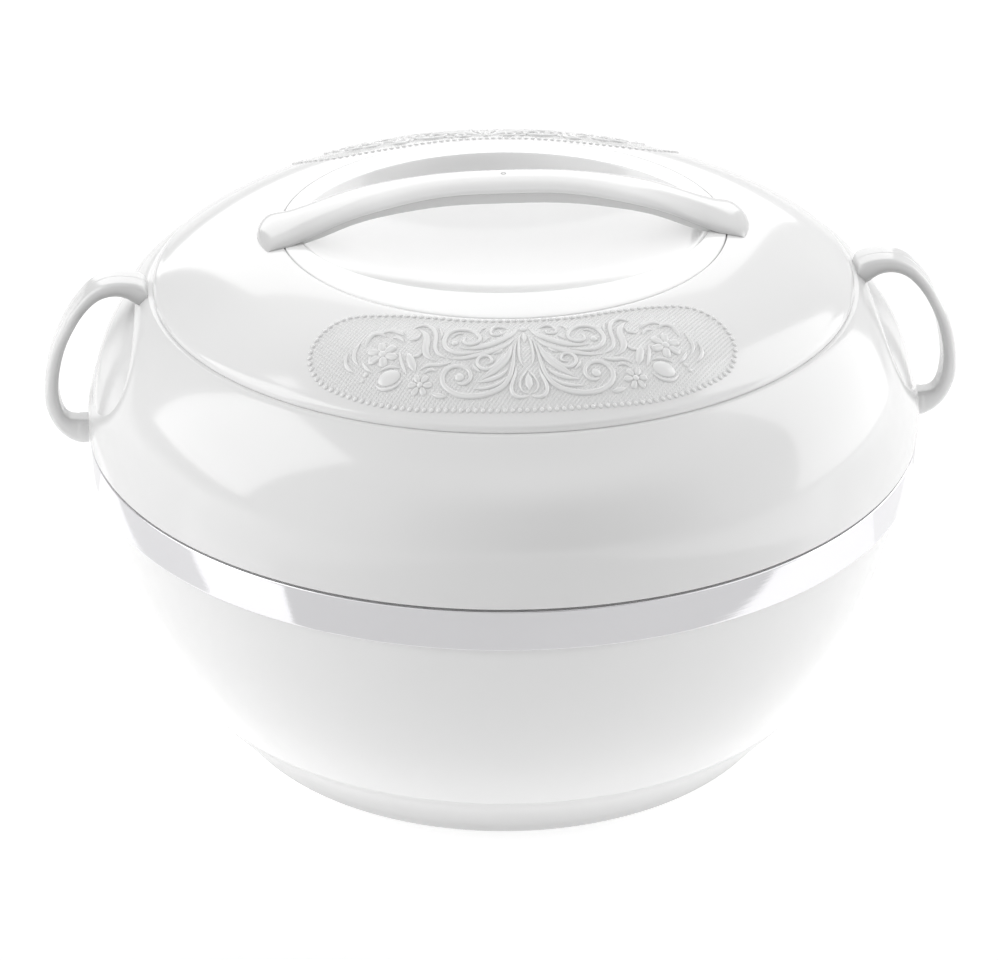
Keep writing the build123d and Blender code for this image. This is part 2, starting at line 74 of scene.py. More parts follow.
def rounded(corners):
    """Closed polygon (r, z, fillet) with its corners rounded by short arcs."""
    out = []
    n = len(corners)
    for i in range(n):
        p = np.array(corners[i][:2], float)
        f = corners[i][2] if len(corners[i]) > 2 else 0
        if f <= 0:
            out.append(tuple(p))
            continue
        a = np.array(corners[i - 1][:2], float) - p
        b = np.array(corners[(i + 1) % n][:2], float) - p
        la, lb = np.linalg.norm(a), np.linalg.norm(b)
        a, b = a / la, b / lb
        half = math.acos(max(-1, min(1, float(a @ b)))) / 2
        d = min(f / math.tan(half), 0.49 * la, 0.49 * lb)
        f = d * math.tan(half)
        c = p + (a + b) / np.linalg.norm(a + b) * f / math.sin(half)
        v0, v1 = p + a * d - c, p + b * d - c
        t0, t1 = math.atan2(v0[1], v0[0]), math.atan2(v1[1], v1[0])
        dt = (t1 - t0 + math.pi) % (2 * math.pi) - math.pi
        steps = max(3, int(abs(dt) / 0.25) + 2)
        for s in range(steps):
            t = t0 + dt * s / (steps - 1)
            out.append((c[0] + f * math.cos(t), c[1] + f * math.sin(t)))
    return out


def lathe_mesh(profile, seg, shift=0.0):
    """Vertices and faces of a closed profile (r, z) turned about Z; points on the axis become poles."""
    verts, rows = [], []
    ang = np.arange(seg) * 2 * math.pi / seg + shift
    for r, z in profile:
        if r < 1e-6:
            rows.append([len(verts)])
            verts.append((0, 0, z))
        else:
            rows.append(list(range(len(verts), len(verts) + seg)))
            verts.extend((r * math.cos(t), r * math.sin(t), z) for t in ang)
    faces = []
    n = len(rows)
    for i in range(n):
        a, b = rows[i], rows[(i + 1) % n]
        if len(a) == 1 and len(b) == 1:
            continue
        for k in range(seg):
            k2 = (k + 1) % seg
            if len(a) == 1:
                faces.append((a[0], b[k2], b[k]))
            elif len(b) == 1:
                faces.append((a[k], a[k2], b[0]))
            else:
                faces.append((a[k], a[k2], b[k2], b[k]))
    return verts, faces


def lathe(name, profile, seg=256, sharp=38.0, painted_shade=None):
    """Turned piece; painted_shade: painted shade per profile point (none of them on the axis)."""
    return make_object(name, *lathe_mesh(profile, seg), sharp=sharp, painted_shade=None if painted_shade is None else np.repeat(painted_shade, seg))


def spline(points, n):
    """Natural cubic spline through 2-D or n-D points, by chord length."""
    p = np.array(points, float)
    t = np.concatenate([[0], np.cumsum(np.linalg.norm(np.diff(p, axis=0), axis=1))])
    m = len(p)
    h = np.diff(t)
    a = np.zeros((m, m))
    rhs = np.zeros((m, p.shape[1]))
    a[0, 0] = a[-1, -1] = 1
    for i in range(1, m - 1):
        a[i, i - 1], a[i, i], a[i, i + 1] = h[i - 1], 2 * (h[i - 1] + h[i]), h[i]
        rhs[i] = 6 * ((p[i + 1] - p[i]) / h[i] - (p[i] - p[i - 1]) / h[i - 1])
    k = np.linalg.solve(a, rhs)
    q = np.linspace(0, t[-1], n)
    j = np.clip(np.searchsorted(t, q, side="right") - 1, 0, m - 2)
    u, v = q - t[j], t[j + 1] - q
    hj = h[j][:, None]
    u, v = u[:, None], v[:, None]
    return (k[j] * v**3 + k[j + 1] * u**3) / (6 * hj) + (p[j] / hj - k[j] * hj / 6) * v + (p[j + 1] / hj - k[j + 1] * hj / 6) * u


def loft(rings, cap=True):
    """Vertices and faces of a row of equal closed rings, capped at both ends."""
    n = len(rings[0])
    verts = [v for ring in rings for v in ring]
    faces = []
    for i in range(len(rings) - 1):
        for k in range(n):
            k2 = (k + 1) % n
            faces.append((i * n + k, i * n + k2, (i + 1) * n + k2, (i + 1) * n + k))
    if cap:
        faces.append(tuple(range(n - 1, -1, -1)))
        faces.append(tuple((len(rings) - 1) * n + k for k in range(n)))
    return verts, faces


def place(ob, body, slot, *nodes, mat=None):
    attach(ob, body)
    if nodes:
        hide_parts(*nodes)
    if mat is not None:
        ob.data.materials.clear()
        ob.data.materials.append(mat)
    return ob


# ------------------------------------------------------------------- materials
def new_material(name):
    m = bpy.data.materials.new(name)
    m.use_nodes = True
    nt = m.node_tree
    return m, nt, nt.nodes["Principled BSDF"]


def node(nt, kind, **inputs):
    n = nt.nodes.new(kind)
    for k, v in inputs.items():
        n.inputs[k.replace("_", " ")].default_value = v
    return n


def ramp(nt, fac, stops):
    r = nt.nodes.new("ShaderNodeValToRGB")
    r.color_ramp.elements[0].position, r.color_ramp.elements[0].color = stops[0]
    r.color_ramp.elements[1].position, r.color_ramp.elements[1].color = stops[-1]
    for pos, col in stops[1:-1]:
        e = r.color_ramp.elements.new(pos)
        e.color = col
    nt.links.new(fac, r.inputs["Fac"])
    return r


def grey(v, tint=(1, 1, 1)):
    return (v * tint[0], v * tint[1], v * tint[2], 1)


def white_plastic(name, level, rough, hatch=False):
    """Glossy white moulding: faint cloudiness in the colour, uneven polish, a trace of ripple, and painted shade
    from the per-point 'shade' attribute.
    """
    m, nt, b = new_material(name)
    co = nt.nodes.new("ShaderNodeTexCoord")
    cloud = node(nt, "ShaderNodeTexNoise", Scale=9.0, Detail=3.0, Roughness=0.55)
    nt.links.new(co.outputs["Object"], cloud.inputs["Vector"])
    col = ramp(nt, cloud.outputs["Fac"], [(0.3, grey(level - 0.012, (1, 1, 1))), (0.7, grey(level + 0.008, (1, 1, 0.998)))])
    # painted shade: the colour is darkened by the per-point 'shade' attribute where a moulding turns inward, away
    # from the light
    turned = nt.nodes.new("ShaderNodeAttribute")
    turned.attribute_name = "shade"
    keep = nt.nodes.new("ShaderNodeMath")
    keep.operation = "SUBTRACT"
    keep.inputs[0].default_value = 1.0
    nt.links.new(turned.outputs["Fac"], keep.inputs[1])
    painted_shade = nt.nodes.new("ShaderNodeVectorMath")
    painted_shade.operation = "SCALE"
    nt.links.new(col.outputs["Color"], painted_shade.inputs[0])
    nt.links.new(keep.outputs[0], painted_shade.inputs["Scale"])
    nt.links.new(painted_shade.outputs["Vector"], b.inputs["Base Color"])
    polish = node(nt, "ShaderNodeTexNoise", Scale=38.0, Detail=4.0, Roughness=0.6)
    nt.links.new(co.outputs["Object"], polish.inputs["Vector"])
    rr = ramp(nt, polish.outputs["Fac"], [(0.3, grey(rough * 0.85)), (0.7, grey(rough * 1.2))])
    nt.links.new(rr.outputs["Color"], b.inputs["Roughness"])
    ripple = node(nt, "ShaderNodeTexNoise", Scale=60.0, Detail=2.0)
    nt.links.new(co.outputs["Object"], ripple.inputs["Vector"])
    bump = node(nt, "ShaderNodeBump", Strength=0.012, Distance=0.002)
    nt.links.new(ripple.outputs["Fac"], bump.inputs["Height"])
    last = bump
    if hatch:
        # fine crossed lines on the ground of the embossed fields, as bumps and as painted shade in their grooves
        mask = nt.nodes.new("ShaderNodeAttribute")
        mask.attribute_name = "field"
        rows = []
        for turn in (38, -38):
            mp = nt.nodes.new("ShaderNodeMapping")
            mp.inputs["Rotation"].default_value = (0, 0, math.radians(turn))
            nt.links.new(co.outputs["Object"], mp.inputs["Vector"])
            w = node(nt, "ShaderNodeTexWave", Scale=HATCH)
            w.wave_type, w.bands_direction, w.wave_profile = "BANDS", "X", "SIN"
            nt.links.new(mp.outputs["Vector"], w.inputs["Vector"])
            rows.append(w)
        both = nt.nodes.new("ShaderNodeMath")
        both.operation = "MAXIMUM"
        nt.links.new(rows[0].outputs["Fac"], both.inputs[0])
        half = nt.nodes.new("ShaderNodeMath")
        half.operation = "MULTIPLY"
        half.inputs[1].default_value = 0.72
        nt.links.new(rows[1].outputs["Fac"], half.inputs[0])
        nt.links.new(half.outputs[0], both.inputs[1])
        cut = nt.nodes.new("ShaderNodeMath")
        cut.operation = "MULTIPLY"
        nt.links.new(both.outputs[0], cut.inputs[0])
        nt.links.new(mask.outputs["Fac"], cut.inputs[1])
        groove = nt.nodes.new("ShaderNodeMath")
        groove.operation = "MULTIPLY_ADD"
        groove.inputs[1].default_value = -1.0
        nt.links.new(cut.outputs[0], groove.inputs[0])
        nt.links.new(mask.outputs["Fac"], groove.inputs[2])
        # painted shade: darkens the colour along the hatch grooves, on top of the per-point shade
        groove_painted_shade = nt.nodes.new("ShaderNodeMath")
        groove_painted_shade.operation = "MULTIPLY_ADD"
        groove_painted_shade.inputs[1].default_value = -0.07
        nt.links.new(groove.outputs[0], groove_painted_shade.inputs[0])
        nt.links.new(keep.outputs[0], groove_painted_shade.inputs[2])
        nt.links.new(groove_painted_shade.outputs[0], painted_shade.inputs["Scale"])
        hb = node(nt, "ShaderNodeBump", Strength=0.6, Distance=0.0005)
        nt.links.new(cut.outputs[0], hb.inputs["Height"])
        nt.links.new(bump.outputs["Normal"], hb.inputs["Normal"])
        last = hb
    nt.links.new(last.outputs["Normal"], b.inputs["Normal"])
    b.inputs["IOR"].default_value = 1.5
    b.inputs["Coat Weight"].default_value = 0.8
    b.inputs["Coat Roughness"].default_value = 0.09
    return m


def metal(name, tint, rough, streak, strength):
    """Sheet metal with fine lines round the axis."""
    m, nt, b = new_material(name)
    b.inputs["Metallic"].default_value = 1.0
    co = nt.nodes.new("ShaderNodeTexCoord")
    sep = nt.nodes.new("ShaderNodeSeparateXYZ")
    nt.links.new(co.outputs["Object"], sep.inputs[0])
    sq = []
    for ax in ("X", "Y"):
        p = nt.nodes.new("ShaderNodeMath")
        p.operation = "MULTIPLY"
        nt.links.new(sep.outputs[ax], p.inputs[0])
        nt.links.new(sep.outputs[ax], p.inputs[1])
        sq.append(p)
    add = nt.nodes.new("ShaderNodeMath")
    nt.links.new(sq[0].outputs[0], add.inputs[0])
    nt.links.new(sq[1].outputs[0], add.inputs[1])
    rad = nt.nodes.new("ShaderNodeMath")
    rad.operation = "SQRT"
    nt.links.new(add.outputs[0], rad.inputs[0])
    comb = nt.nodes.new("ShaderNodeCombineXYZ")
    nt.links.new(rad.outputs[0], comb.inputs["X"])
    nt.links.new(sep.outputs["Z"], comb.inputs["Z"])
    lines = node(nt, "ShaderNodeTexNoise", Scale=streak, Detail=5.0, Roughness=0.7)
    nt.links.new(comb.outputs[0], lines.inputs["Vector"])
    soft = node(nt, "ShaderNodeTexNoise", Scale=14.0, Detail=3.0)
    nt.links.new(co.outputs["Object"], soft.inputs["Vector"])
    col = ramp(nt, soft.outputs["Fac"], [(0.3, grey(0.96, tint)), (0.7, grey(1.0, tint))])
    nt.links.new(col.outputs["Color"], b.inputs["Base Color"])
    rr = ramp(nt, lines.outputs["Fac"], [(0.35, grey(rough * 0.8)), (0.65, grey(rough * 1.3))])
    nt.links.new(rr.outputs["Color"], b.inputs["Roughness"])
    bump = node(nt, "ShaderNodeBump", Strength=strength, Distance=0.0004)
    nt.links.new(lines.outputs["Fac"], bump.inputs["Height"])
    nt.links.new(bump.outputs["Normal"], b.inputs["Normal"])
    return m


def grainy(name, dark, light, scale, rough, strength, tint=(1, 1, 1)):
    """Matt material with a grain: rubber or foam."""
    m, nt, b = new_material(name)
    co = nt.nodes.new("ShaderNodeTexCoord")
    n = node(nt, "ShaderNodeTexNoise", Scale=scale, Detail=6.0, Roughness=0.65)
    nt.links.new(co.outputs["Object"], n.inputs["Vector"])
    col = ramp(nt, n.outputs["Fac"], [(0.3, grey(dark, tint)), (0.7, grey(light, tint))])
    nt.links.new(col.outputs["Color"], b.inputs["Base Color"])
    rr = ramp(nt, n.outputs["Fac"], [(0.3, grey(rough * 0.85)), (0.7, grey(min(1.0, rough * 1.15)))])
    nt.links.new(rr.outputs["Color"], b.inputs["Roughness"])
    bump = node(nt, "ShaderNodeBump", Strength=strength, Distance=0.0006)
    nt.links.new(n.outputs["Fac"], bump.inputs["Height"])
    nt.links.new(bump.outputs["Normal"], b.inputs["Normal"])
    return m


HATCH = 240.0
shell_white = white_plastic("shell_white", 0.865, 0.17)
lid_white = white_plastic("lid_white", 0.875, 0.14, hatch=True)
relief_white = white_plastic("relief_white", 0.88, 0.17)
handle_white = white_plastic("handle_white", 0.87, 0.15)
# painted light: a lighter copy of the white plastic for the bar
bar_white_painted_light = white_plastic("bar_white_painted_light", 0.93, 0.15)
base_white = white_plastic("base_white", 0.865, 0.34)
base_white.node_tree.nodes["Principled BSDF"].inputs["Coat Weight"].default_value = 0.15
# painted light: a lighter copy of the white plastic, brightening the grip hollow
cup_white_painted_light = white_plastic("cup_white_painted_light", 0.95, 0.12)
band_metal = metal("band_metal", (0.95, 0.945, 0.965), 0.045, 900.0, 0.02)
steel = metal("bowl_steel", (0.72, 0.715, 0.705), 0.24, 700.0, 0.12)
screw_steel = metal("screw_steel", (0.55, 0.55, 0.56), 0.3, 900.0, 0.1)
foam_mat = grainy("foam", 0.62, 0.80, 160.0, 0.9, 0.5, (1.0, 0.93, 0.72))
seal_mat = grainy("seal_silicone", 0.68, 0.74, 90.0, 0.42, 0.05, (1.0, 1.0, 0.985))
foot_mat = grainy("foot_rubber", 0.30, 0.36, 140.0, 0.65, 0.12)

# --------------------------------------------------------------- outer profile
R_BELLY, Z_BELLY, R_SH = 168.5, 150.0, 59.6
C_SH = R_BELLY - R_SH


def shoulder(z):
    """Radius of the outer body above the belly."""
    return C_SH + math.sqrt(R_SH**2 - (z - Z_BELLY) ** 2)


# upper shell: closed section, outer wall first so that the finger hollows can be pressed into it
wall_a = math.degrees(math.asin((198.6 - Z_BELLY) / R_SH))
outer_wall = [(168.2 + 0.3 * math.sin(math.pi / 2 * s), 140.85 + 9.15 * s) for s in np.linspace(0, 1, 10)][:-1]
outer_wall += arc(C_SH, Z_BELLY, R_SH, 0, wall_a, 66)
lip = [(167.5, 140.15)] + [(167.5 + 0.7 * math.sin(t), 140.85 - 0.7 * math.cos(t)) for t in np.linspace(0.25, math.pi / 2 - 0.2, 5)]
seat = rounded([(142.9, 198.7), (142.1, 199.3, 0.5), (137.9, 199.3, 0.4), (137.9, 196.4, 0), (128.0, 196.4, 0.4), (128.0, 193.9, 0.4), (145.4, 193.9, 0)])[1:]
inner_wall = arc(C_SH, Z_BELLY, R_SH - 2.5, 50.0, 0, 14)
skirt = [(165.9, 148.2), (161.2, 146.8), (161.2, 128.5), (163.4, 128.5), (163.4, 139.8)]
sect = lip + outer_wall + seat + inner_wall + skirt
SEG = 540
verts, faces = lathe_mesh(sect, SEG)
verts = np.array(verts)
HX, HZ, HR = 239.9, 213.8, 94.3


def press_hollow(p, r, z):
    """Moves a wall point inward to the hollow behind a handle, with a soft edge."""
    if z >= Z_BELLY:
        nr, nz = (r - C_SH) / R_SH, (z - Z_BELLY) / R_SH
    else:
        nr, nz = 1.0, 0.0
    ct, st = p[0] / r, p[1] / r
    n = np.array([nr * ct, nr * st, nz])
    side = 1 if p[0] > 0 else -1
    qx, qz = p[0] - side * HX, p[2] - HZ
    mm = n[0] ** 2 + n[2] ** 2
    qm = qx * n[0] + qz * n[2]
    d = qm**2 - mm * (qx**2 + qz**2 - HR**2)
    if d <= 0 or mm < 0.05:
        return p
    t = (qm + math.sqrt(d)) / mm
    if t < -9:
        return p
    t = 0.5 * (t + math.sqrt(t * t + 3.2**2)) - 0.5 * (-9 + math.sqrt(81 + 3.2**2))
    return p - max(t, 0.0) * n


first = len(lip)
for i in range(first, first + len(outer_wall)):
    r, z = sect[i]
    if z < 143:
        continue
    for k in range(SEG):
        p = verts[i * SEG + k]
        if abs(p[1]) < 82:
            verts[i * SEG + k] = press_hollow(p.copy(), r, z)
upper = make_object("upper_shell_skin", verts, faces)
place(upper, BODY, "white_shell", "upper_shell", mat=shell_white)

# lower shell
out_pts = spline([(133.9, 35.0), (143.5, 52.9), (151.6, 72.4), (158.8, 94.7), (164.3, 115.0), (166.1, 122.4), (166.6, 130.0)], 90)
out_pts = [tuple(p) for p in out_pts if p[1] < 122.3]
in_pts = spline([(131.8, 36.3), (141.2, 54.0), (149.25, 73.3), (156.4, 95.4), (161.85, 115.6), (163.65, 122.9)], 30)
lower_sect = [(133.0, 35.03), (133.88, 35.03)] + out_pts[1:] + [(166.1, 122.4), (167.1, 139.0), (163.75, 139.0)] + [tuple(p) for p in in_pts[::-1]]
lower = lathe("lower_shell_skin", lower_sect, 360)
place(lower, BODY, "white_shell", "lower_shell", mat=shell_white)

# base cover: cone that starts flush with the shell, foot with a groove, flat underside and an inner lip
base_sect = [(132.6, 34.97)]
base_sect += [tuple(p) for p in spline([(133.84, 34.97), (132.96, 33.47), (131.96, 31.97), (130.3, 29.9), (125.9, 24.9), (121.3, 19.5), (117.2, 14.6), (113.0, 9.6), (109.1, 6.95), (104.9, 4.65), (100.6, 2.65), (96.5, 1.0)], 56)]
base_sect += rounded([(96.5, 1.0), (95.6, 1.0, 0.2), (95.6, 2.6), (87.4, 2.6), (87.4, 1.0, 0.3), (85.0, 1.0, 0.6), (83.0, 4.0, 1.2), (8.2, 4.0, 0.4), (8.2, 6.5), (84.4, 6.5), (86.4, 5.0), (98.6, 5.0), (110.9, 11.2), (128.8, 36.6), (134.0, 45.2), (135.8, 44.3), (131.2, 36.4)])[1:]
# painted shade: the outer cone darkens towards the foot; the underside gets none
base = lathe("base_cover_skin", base_sect, 300, painted_shade=[0.06 + (0.42 * min(1.0, max(0.0, (35.0 - z) / 30.0)) ** 0.8 if r > 95.7 else 0.0) for r, z in base_sect])
place(base, BODY, "white_shell", "base_cover", mat=base_white)

# bright band with rolled edges
band_sect = rounded([(166.2, 122.4), (167.05, 122.4, 0.35), (167.082, 122.95, 0), (167.12, 123.6, 0), (167.352, 127.5, 0), (167.708, 133.5, 0), (167.965, 137.8, 0), (168.002, 138.4, 0), (168.05, 139.2, 0.4), (167.2, 139.2)])
band = lathe("bright_band", band_sect, 540, sharp=50)
place(band, BODY, "bright_band", "trim_band", mat=band_metal)

# steel bowl, mouth ring
bowl_sect = [(137.2, 197.25), (127.5, 197.25)] + arc(127.5, 193.75, 3.5, 90, 180, 9)[1:]
bowl_sect += [(124.0 - 10.63 * s, 193.75 - 130.01 * s) for s in np.linspace(0.03, 1, 26)]
bowl_sect += arc(73.5, 67.0, 40.0, -4.7, -90, 20)[1:] + [(60, 27.0), (40, 27.0), (20, 27.0), (0, 27.0), (0, 26.2), (40, 26.2), (73.5, 26.2)]
bowl_sect += arc(73.5, 67.0, 40.8, -90, -4.7, 20)[1:] + [(124.8, 193.75)] + arc(127.5, 193.75, 2.7, 180, 90, 7)[1:] + [(137.2, 196.45)]
bowl = lathe("food_bowl", bowl_sect, 300)
place(bowl, BODY, "bowl_steel", "inner_bowl", mat=steel)
ring = lathe("mouth_ring_skin", rounded([(126.8, 197.35), (137.6, 197.35, 0.2), (137.6, 199.1, 0.4), (126.8, 199.1, 1.2)]), 300)
place(ring, BODY, "white_shell", "mouth_ring", mat=shell_white)
foot = lathe("foot_ring_skin", rounded([(87.6, 2.5), (87.6, 0.0, 0.9), (90.2, 0.0), (90.5, 0.35, 0.1), (92.5, 0.35, 0.1), (92.8, 0.0), (95.4, 0.0, 0.9), (95.4, 2.5)]), 240)
place(foot, BODY, "grip_rubber", "foot_ring", mat=foot_mat)
plug = lathe("fill_plug_skin", [(0, 2.7), (5.0, 2.7)] + rounded([(5.6, 2.4, 0.3), (11.4, 2.4, 0.8), (11.4, 3.9, 0.2), (8.0, 3.9), (8.0, 7.2, 0.3), (6.4, 7.2, 0.3), (6.4, 4.6)]) + [(0, 4.6)], 96)
place(plug, BODY, "white_shell", "fill_plug", mat=shell_white)

# ---------------------------------------------------------------- side handles
# matched points on the outer and inner face of a strap (x out, z up), from the lid down to the root
strap_pairs = [
    (142.0, 200.4, 142.0, 196.0), (143.0, 202.3, 143.2, 195.4), (144.7, 203.7, 145.0, 195.0), (147.5, 204.7, 147.6, 196.3),
    (151.0, 205.2, 150.8, 198.4), (155.0, 205.3, 154.4, 199.3), (160.3, 204.1, 158.2, 199.0), (164.8, 201.6, 161.4, 197.8),
    (169.3, 197.1, 165.3, 194.7), (173.4, 191.7, 169.0, 190.2), (177.2, 184.9, 172.6, 184.1), (180.6, 177.8, 175.7, 177.2),
    (182.9, 170.5, 177.9, 169.6), (184.2, 163.5, 179.1, 163.0), (184.9, 157.0, 179.5, 157.0), (184.8, 151.0, 178.95, 151.3),
    (183.4, 145.6, 177.7, 147.2), (181.0, 140.6, 175.9, 145.0), (177.6, 136.8, 174.0, 144.3), (173.8, 134.4, 172.0, 144.1),
    (170.2, 133.7, 170.0, 144.1), (168.2, 133.8, 168.2, 144.1),
]
strap = spline(strap_pairs, 170)
strap_w = spline([(210, 8.0), (200, 8.0), (191, 8.0), (184.5, 7.78), (178, 7.4), (170, 6.88), (163, 6.4), (157, 5.82), (152, 5.3), (148, 4.86), (144, 4.6), (140, 4.5), (134, 4.5)], 200)[::-1]


def strap_section(w, t, rc):
    """Rounded rectangle (across, through) in mm, through = t on the outer face, with a fine raised line along its middle."""
    rc = min(rc, 0.46 * t, 0.8 * w)
    f = w - rc
    pts = []
    for y in (f, 0.66 * f, 0.34 * f, 0.5, 0.24, 0.1, -0.1, -0.24, -0.5, -0.34 * f, -0.66 * f, -f):
        pts.append((y, t + 0.10 * (1 - (y / f) ** 2) + (0.09 if abs(y) < 0.2 else 0.0)))
    pts += [(-f - rc * math.sin(a), t - rc + rc * math.cos(a)) for a in np.linspace(0, math.pi / 2, 8)[1:]]
    pts += [(-w, t / 2)]
    pts += [(-f - rc * math.cos(a), rc - rc * math.sin(a)) for a in np.linspace(0, math.pi / 2, 8)]
    pts += [(-0.4 * f, 0.0), (0.4 * f, 0.0)]
    pts += [(f + rc * math.sin(a), rc - rc * math.cos(a)) for a in np.linspace(0, math.pi / 2, 8)]
    pts += [(w, t / 2)]
    pts += [(f + rc * math.cos(a), t - rc + rc * math.sin(a)) for a in np.linspace(0, math.pi / 2, 8)[:-1]]
    return pts


def handle(name, sign, cad):
    rings, painted_shades = [], []
    n = len(strap)
    for i in range(n):
        o, q = strap[i, :2], strap[i, 2:]
        t = float(np.linalg.norm(o - q))
        d = (o - q) / t
        m = (o + q) / 2
        w = float(np.interp(m[1], strap_w[:, 0], strap_w[:, 1]))
        if i > n // 2:  # low collar where the root stands on the shell
            w += 0.35 / (1 + math.exp((m[0] - 172.3) / 0.22))
        k = max(0.0, 1 - i / 4.0)  # softened end beside the lid
        rings.append([(sign * (q + d * (v + (t / 2 - v) * 0.16 * k * k))[0], y * (1 - 0.09 * k * k), (q + d * (v + (t / 2 - v) * 0.16 * k * k))[1]) for y, v in strap_section(w, t, 1.9)])
        # painted shade: the strap darkens towards its inner face, less near the root, and a little more over the
        # top of the loop
        inner_painted_shade = 0.35 * (0.6 + 0.4 * min(1.0, max(0.0, (m[1] - 140) / 20)))
        painted_shades += [0.10 * min(1.0, max(0.0, (m[1] - 186) / 8)) + inner_painted_shade * min(1.0, max(0.0, (t - v) / (0.7 * t))) ** 2.0 for y, v in strap_section(w, t, 1.9)]
    vs, fs = loft(rings)
    ob = make_object(name, vs, fs, sharp=50, painted_shade=painted_shades)
    return place(ob, BODY, "white_handle", cad, mat=handle_white)


handle("strap_right", 1, "side_handle_right")
handle("strap_left", -1, "side_handle_left")

# ------------------------------------------------------------------------- lid
D_R, D_CR, D_CZ = 104.0, 77.2, 119.2


def dome_z(r):
    return D_CZ + np.sqrt(np.maximum(D_R**2 - (r - D_CR) ** 2, 1.0))


# edge of the embossed field, right half of the front one, from the top middle round to the bottom middle
field_half = [(0, -91.0), (10, -90.5), (20, -89.2), (32, -86.0), (45, -82.3), (57, -79.6), (65, -79.0), (71, -81.2), (76, -85.3), (79.3, -90.5), (80.7, -96.0), (80.0, -101.5), (77.8, -107.0), (74.0, -111.6), (69.0, -115.8), (62.0, -120.6), (55.0, -124.3), (45.0, -128.3), (35.0, -130.8), (22.0, -132.9), (12.0, -134.0), (0, -134.5)]
half = spline(field_half, 400)
field_edge = np.concatenate([half, half[::-1][1:-1] * np.array([-1, 1])])


def inside(poly, pts):
    """Which points lie inside a closed plan polygon."""
    x, y = pts[:, 0], pts[:, 1]
    res = np.zeros(len(pts), bool)
    px, py = poly[:, 0], poly[:, 1]
    qx, qy = np.roll(px, -1), np.roll(py, -1)
    for i in range(len(poly)):
        if py[i] == qy[i]:
            continue
        c = ((py[i] > y) != (qy[i] > y)) & (x < (qx[i] - px[i]) * (y - py[i]) / (qy[i] - py[i]) + px[i])
        res ^= c
    return res


rim_r = 137.0
rows = np.linspace(89.6, rim_r, 62)
cover_sect = [(89.1, 214.5), (89.1, float(dome_z(89.1)) - 0.5), (89.2, float(dome_z(89.2)) - 0.18)]
cover_sect += [(float(r), float(dome_z(r))) for r in rows]
cover_sect += [tuple(p) for p in spline([(rim_r, float(dome_z(rim_r))), (138.5, 203.3), (139.6, 202.25), (140.2, 201.0), (140.32, 200.1), (140.3, 199.6)], 14)][1:]
cover_sect += [(140.22, 199.44), (140.05, 199.38), (137.6, 199.38)]
cover_sect += [(float(r), float(D_CZ + math.sqrt((D_R - 2.2) ** 2 - (r - D_CR) ** 2))) for r in np.linspace(137.5, 90.6, 16)]
cover_sect += [(90.5, 214.5)]
cv, cf = lathe_mesh(cover_sect, 720)
cover = make_object("lid_dome", cv, cf)
co = np.array([v.co[:] for v in cover.data.vertices]) / MM
front = co[:, :2].copy()
front[co[:, 1] > 0] *= -1
on_top = co[:, 2] > dome_z(np.hypot(co[:, 0], co[:, 1])) - 0.6
val = (inside(field_edge[::4], front) & on_top).astype(np.float32)
att = cover.data.attributes.new("field", "FLOAT", "POINT")
att.data.foreach_set("value", val)
place(cover, LID, "white_lid", "lid_cover", mat=lid_white)

# grip cup: crowned rim, and a hollow that is a lens in plan, with steep walls and a boat-shaped floor
B_Z, B_RX, B_RY = 205.0, 215.0, 200.0
L_R, L_Y, L_Z, L_STEEP = 88.9, 18.1, 228.0, 4.0


def soft_max(a, b, k):
    return k * np.logaddexp(a / k, b / k)


def hollow(x, y, drop=0.0):
    """Height of the hollow, its walls carried on upwards; drop gives its back at that wall thickness."""
    rho = (B_RX - B_RY) + np.sqrt((B_RY + drop) ** 2 - y * y)
    z = B_Z + B_RX - np.sqrt(np.maximum(rho**2 - x * x, 1.0))
    blend = 1.3 + 3.2 * np.clip((np.abs(x) - 35) / 45, 0, 1) ** 1.5
    for side in (1, -1):
        z = soft_max(z, L_Z - (L_R + 1.03 * drop - np.hypot(x, y - side * L_Y)) * L_STEEP, blend)
    return z


def cup_top(x, y, drop=0.0, k=0.4):
    return -soft_max(-(227.9 - (x * x + y * y) / 1502.0 - drop), -hollow(x, y, drop), k)


def hollow_edge(t):
    """Radius at which the hollow meets the crowned rim, in direction t."""
    lo, hi = 40.0, 88.0
    for _ in range(40):
        r = (lo + hi) / 2
        if hollow(r * math.cos(t), r * math.sin(t)) < 227.9 - r * r / 1502.0:
            lo = r
        else:
            hi = r
    return (lo + hi) / 2


CS = 432
th = np.arange(CS) * 2 * math.pi / CS
re_ = np.array([hollow_edge(t) for t in th])
verts, rows_ = [(0, 0, float(cup_top(np.array(0.0), np.array(0.0))))], []


def add_row(r, z):
    rows_.append(range(len(verts), len(verts) + CS))
    verts.extend((rr * math.cos(t), rr * math.sin(t), float(zz)) for t, rr, zz in zip(th, np.broadcast_to(r, CS), np.broadcast_to(z, CS)))


def cup_row(r, drop=0.0):
    add_row(r, cup_top(r * np.cos(th), r * np.sin(th), drop))


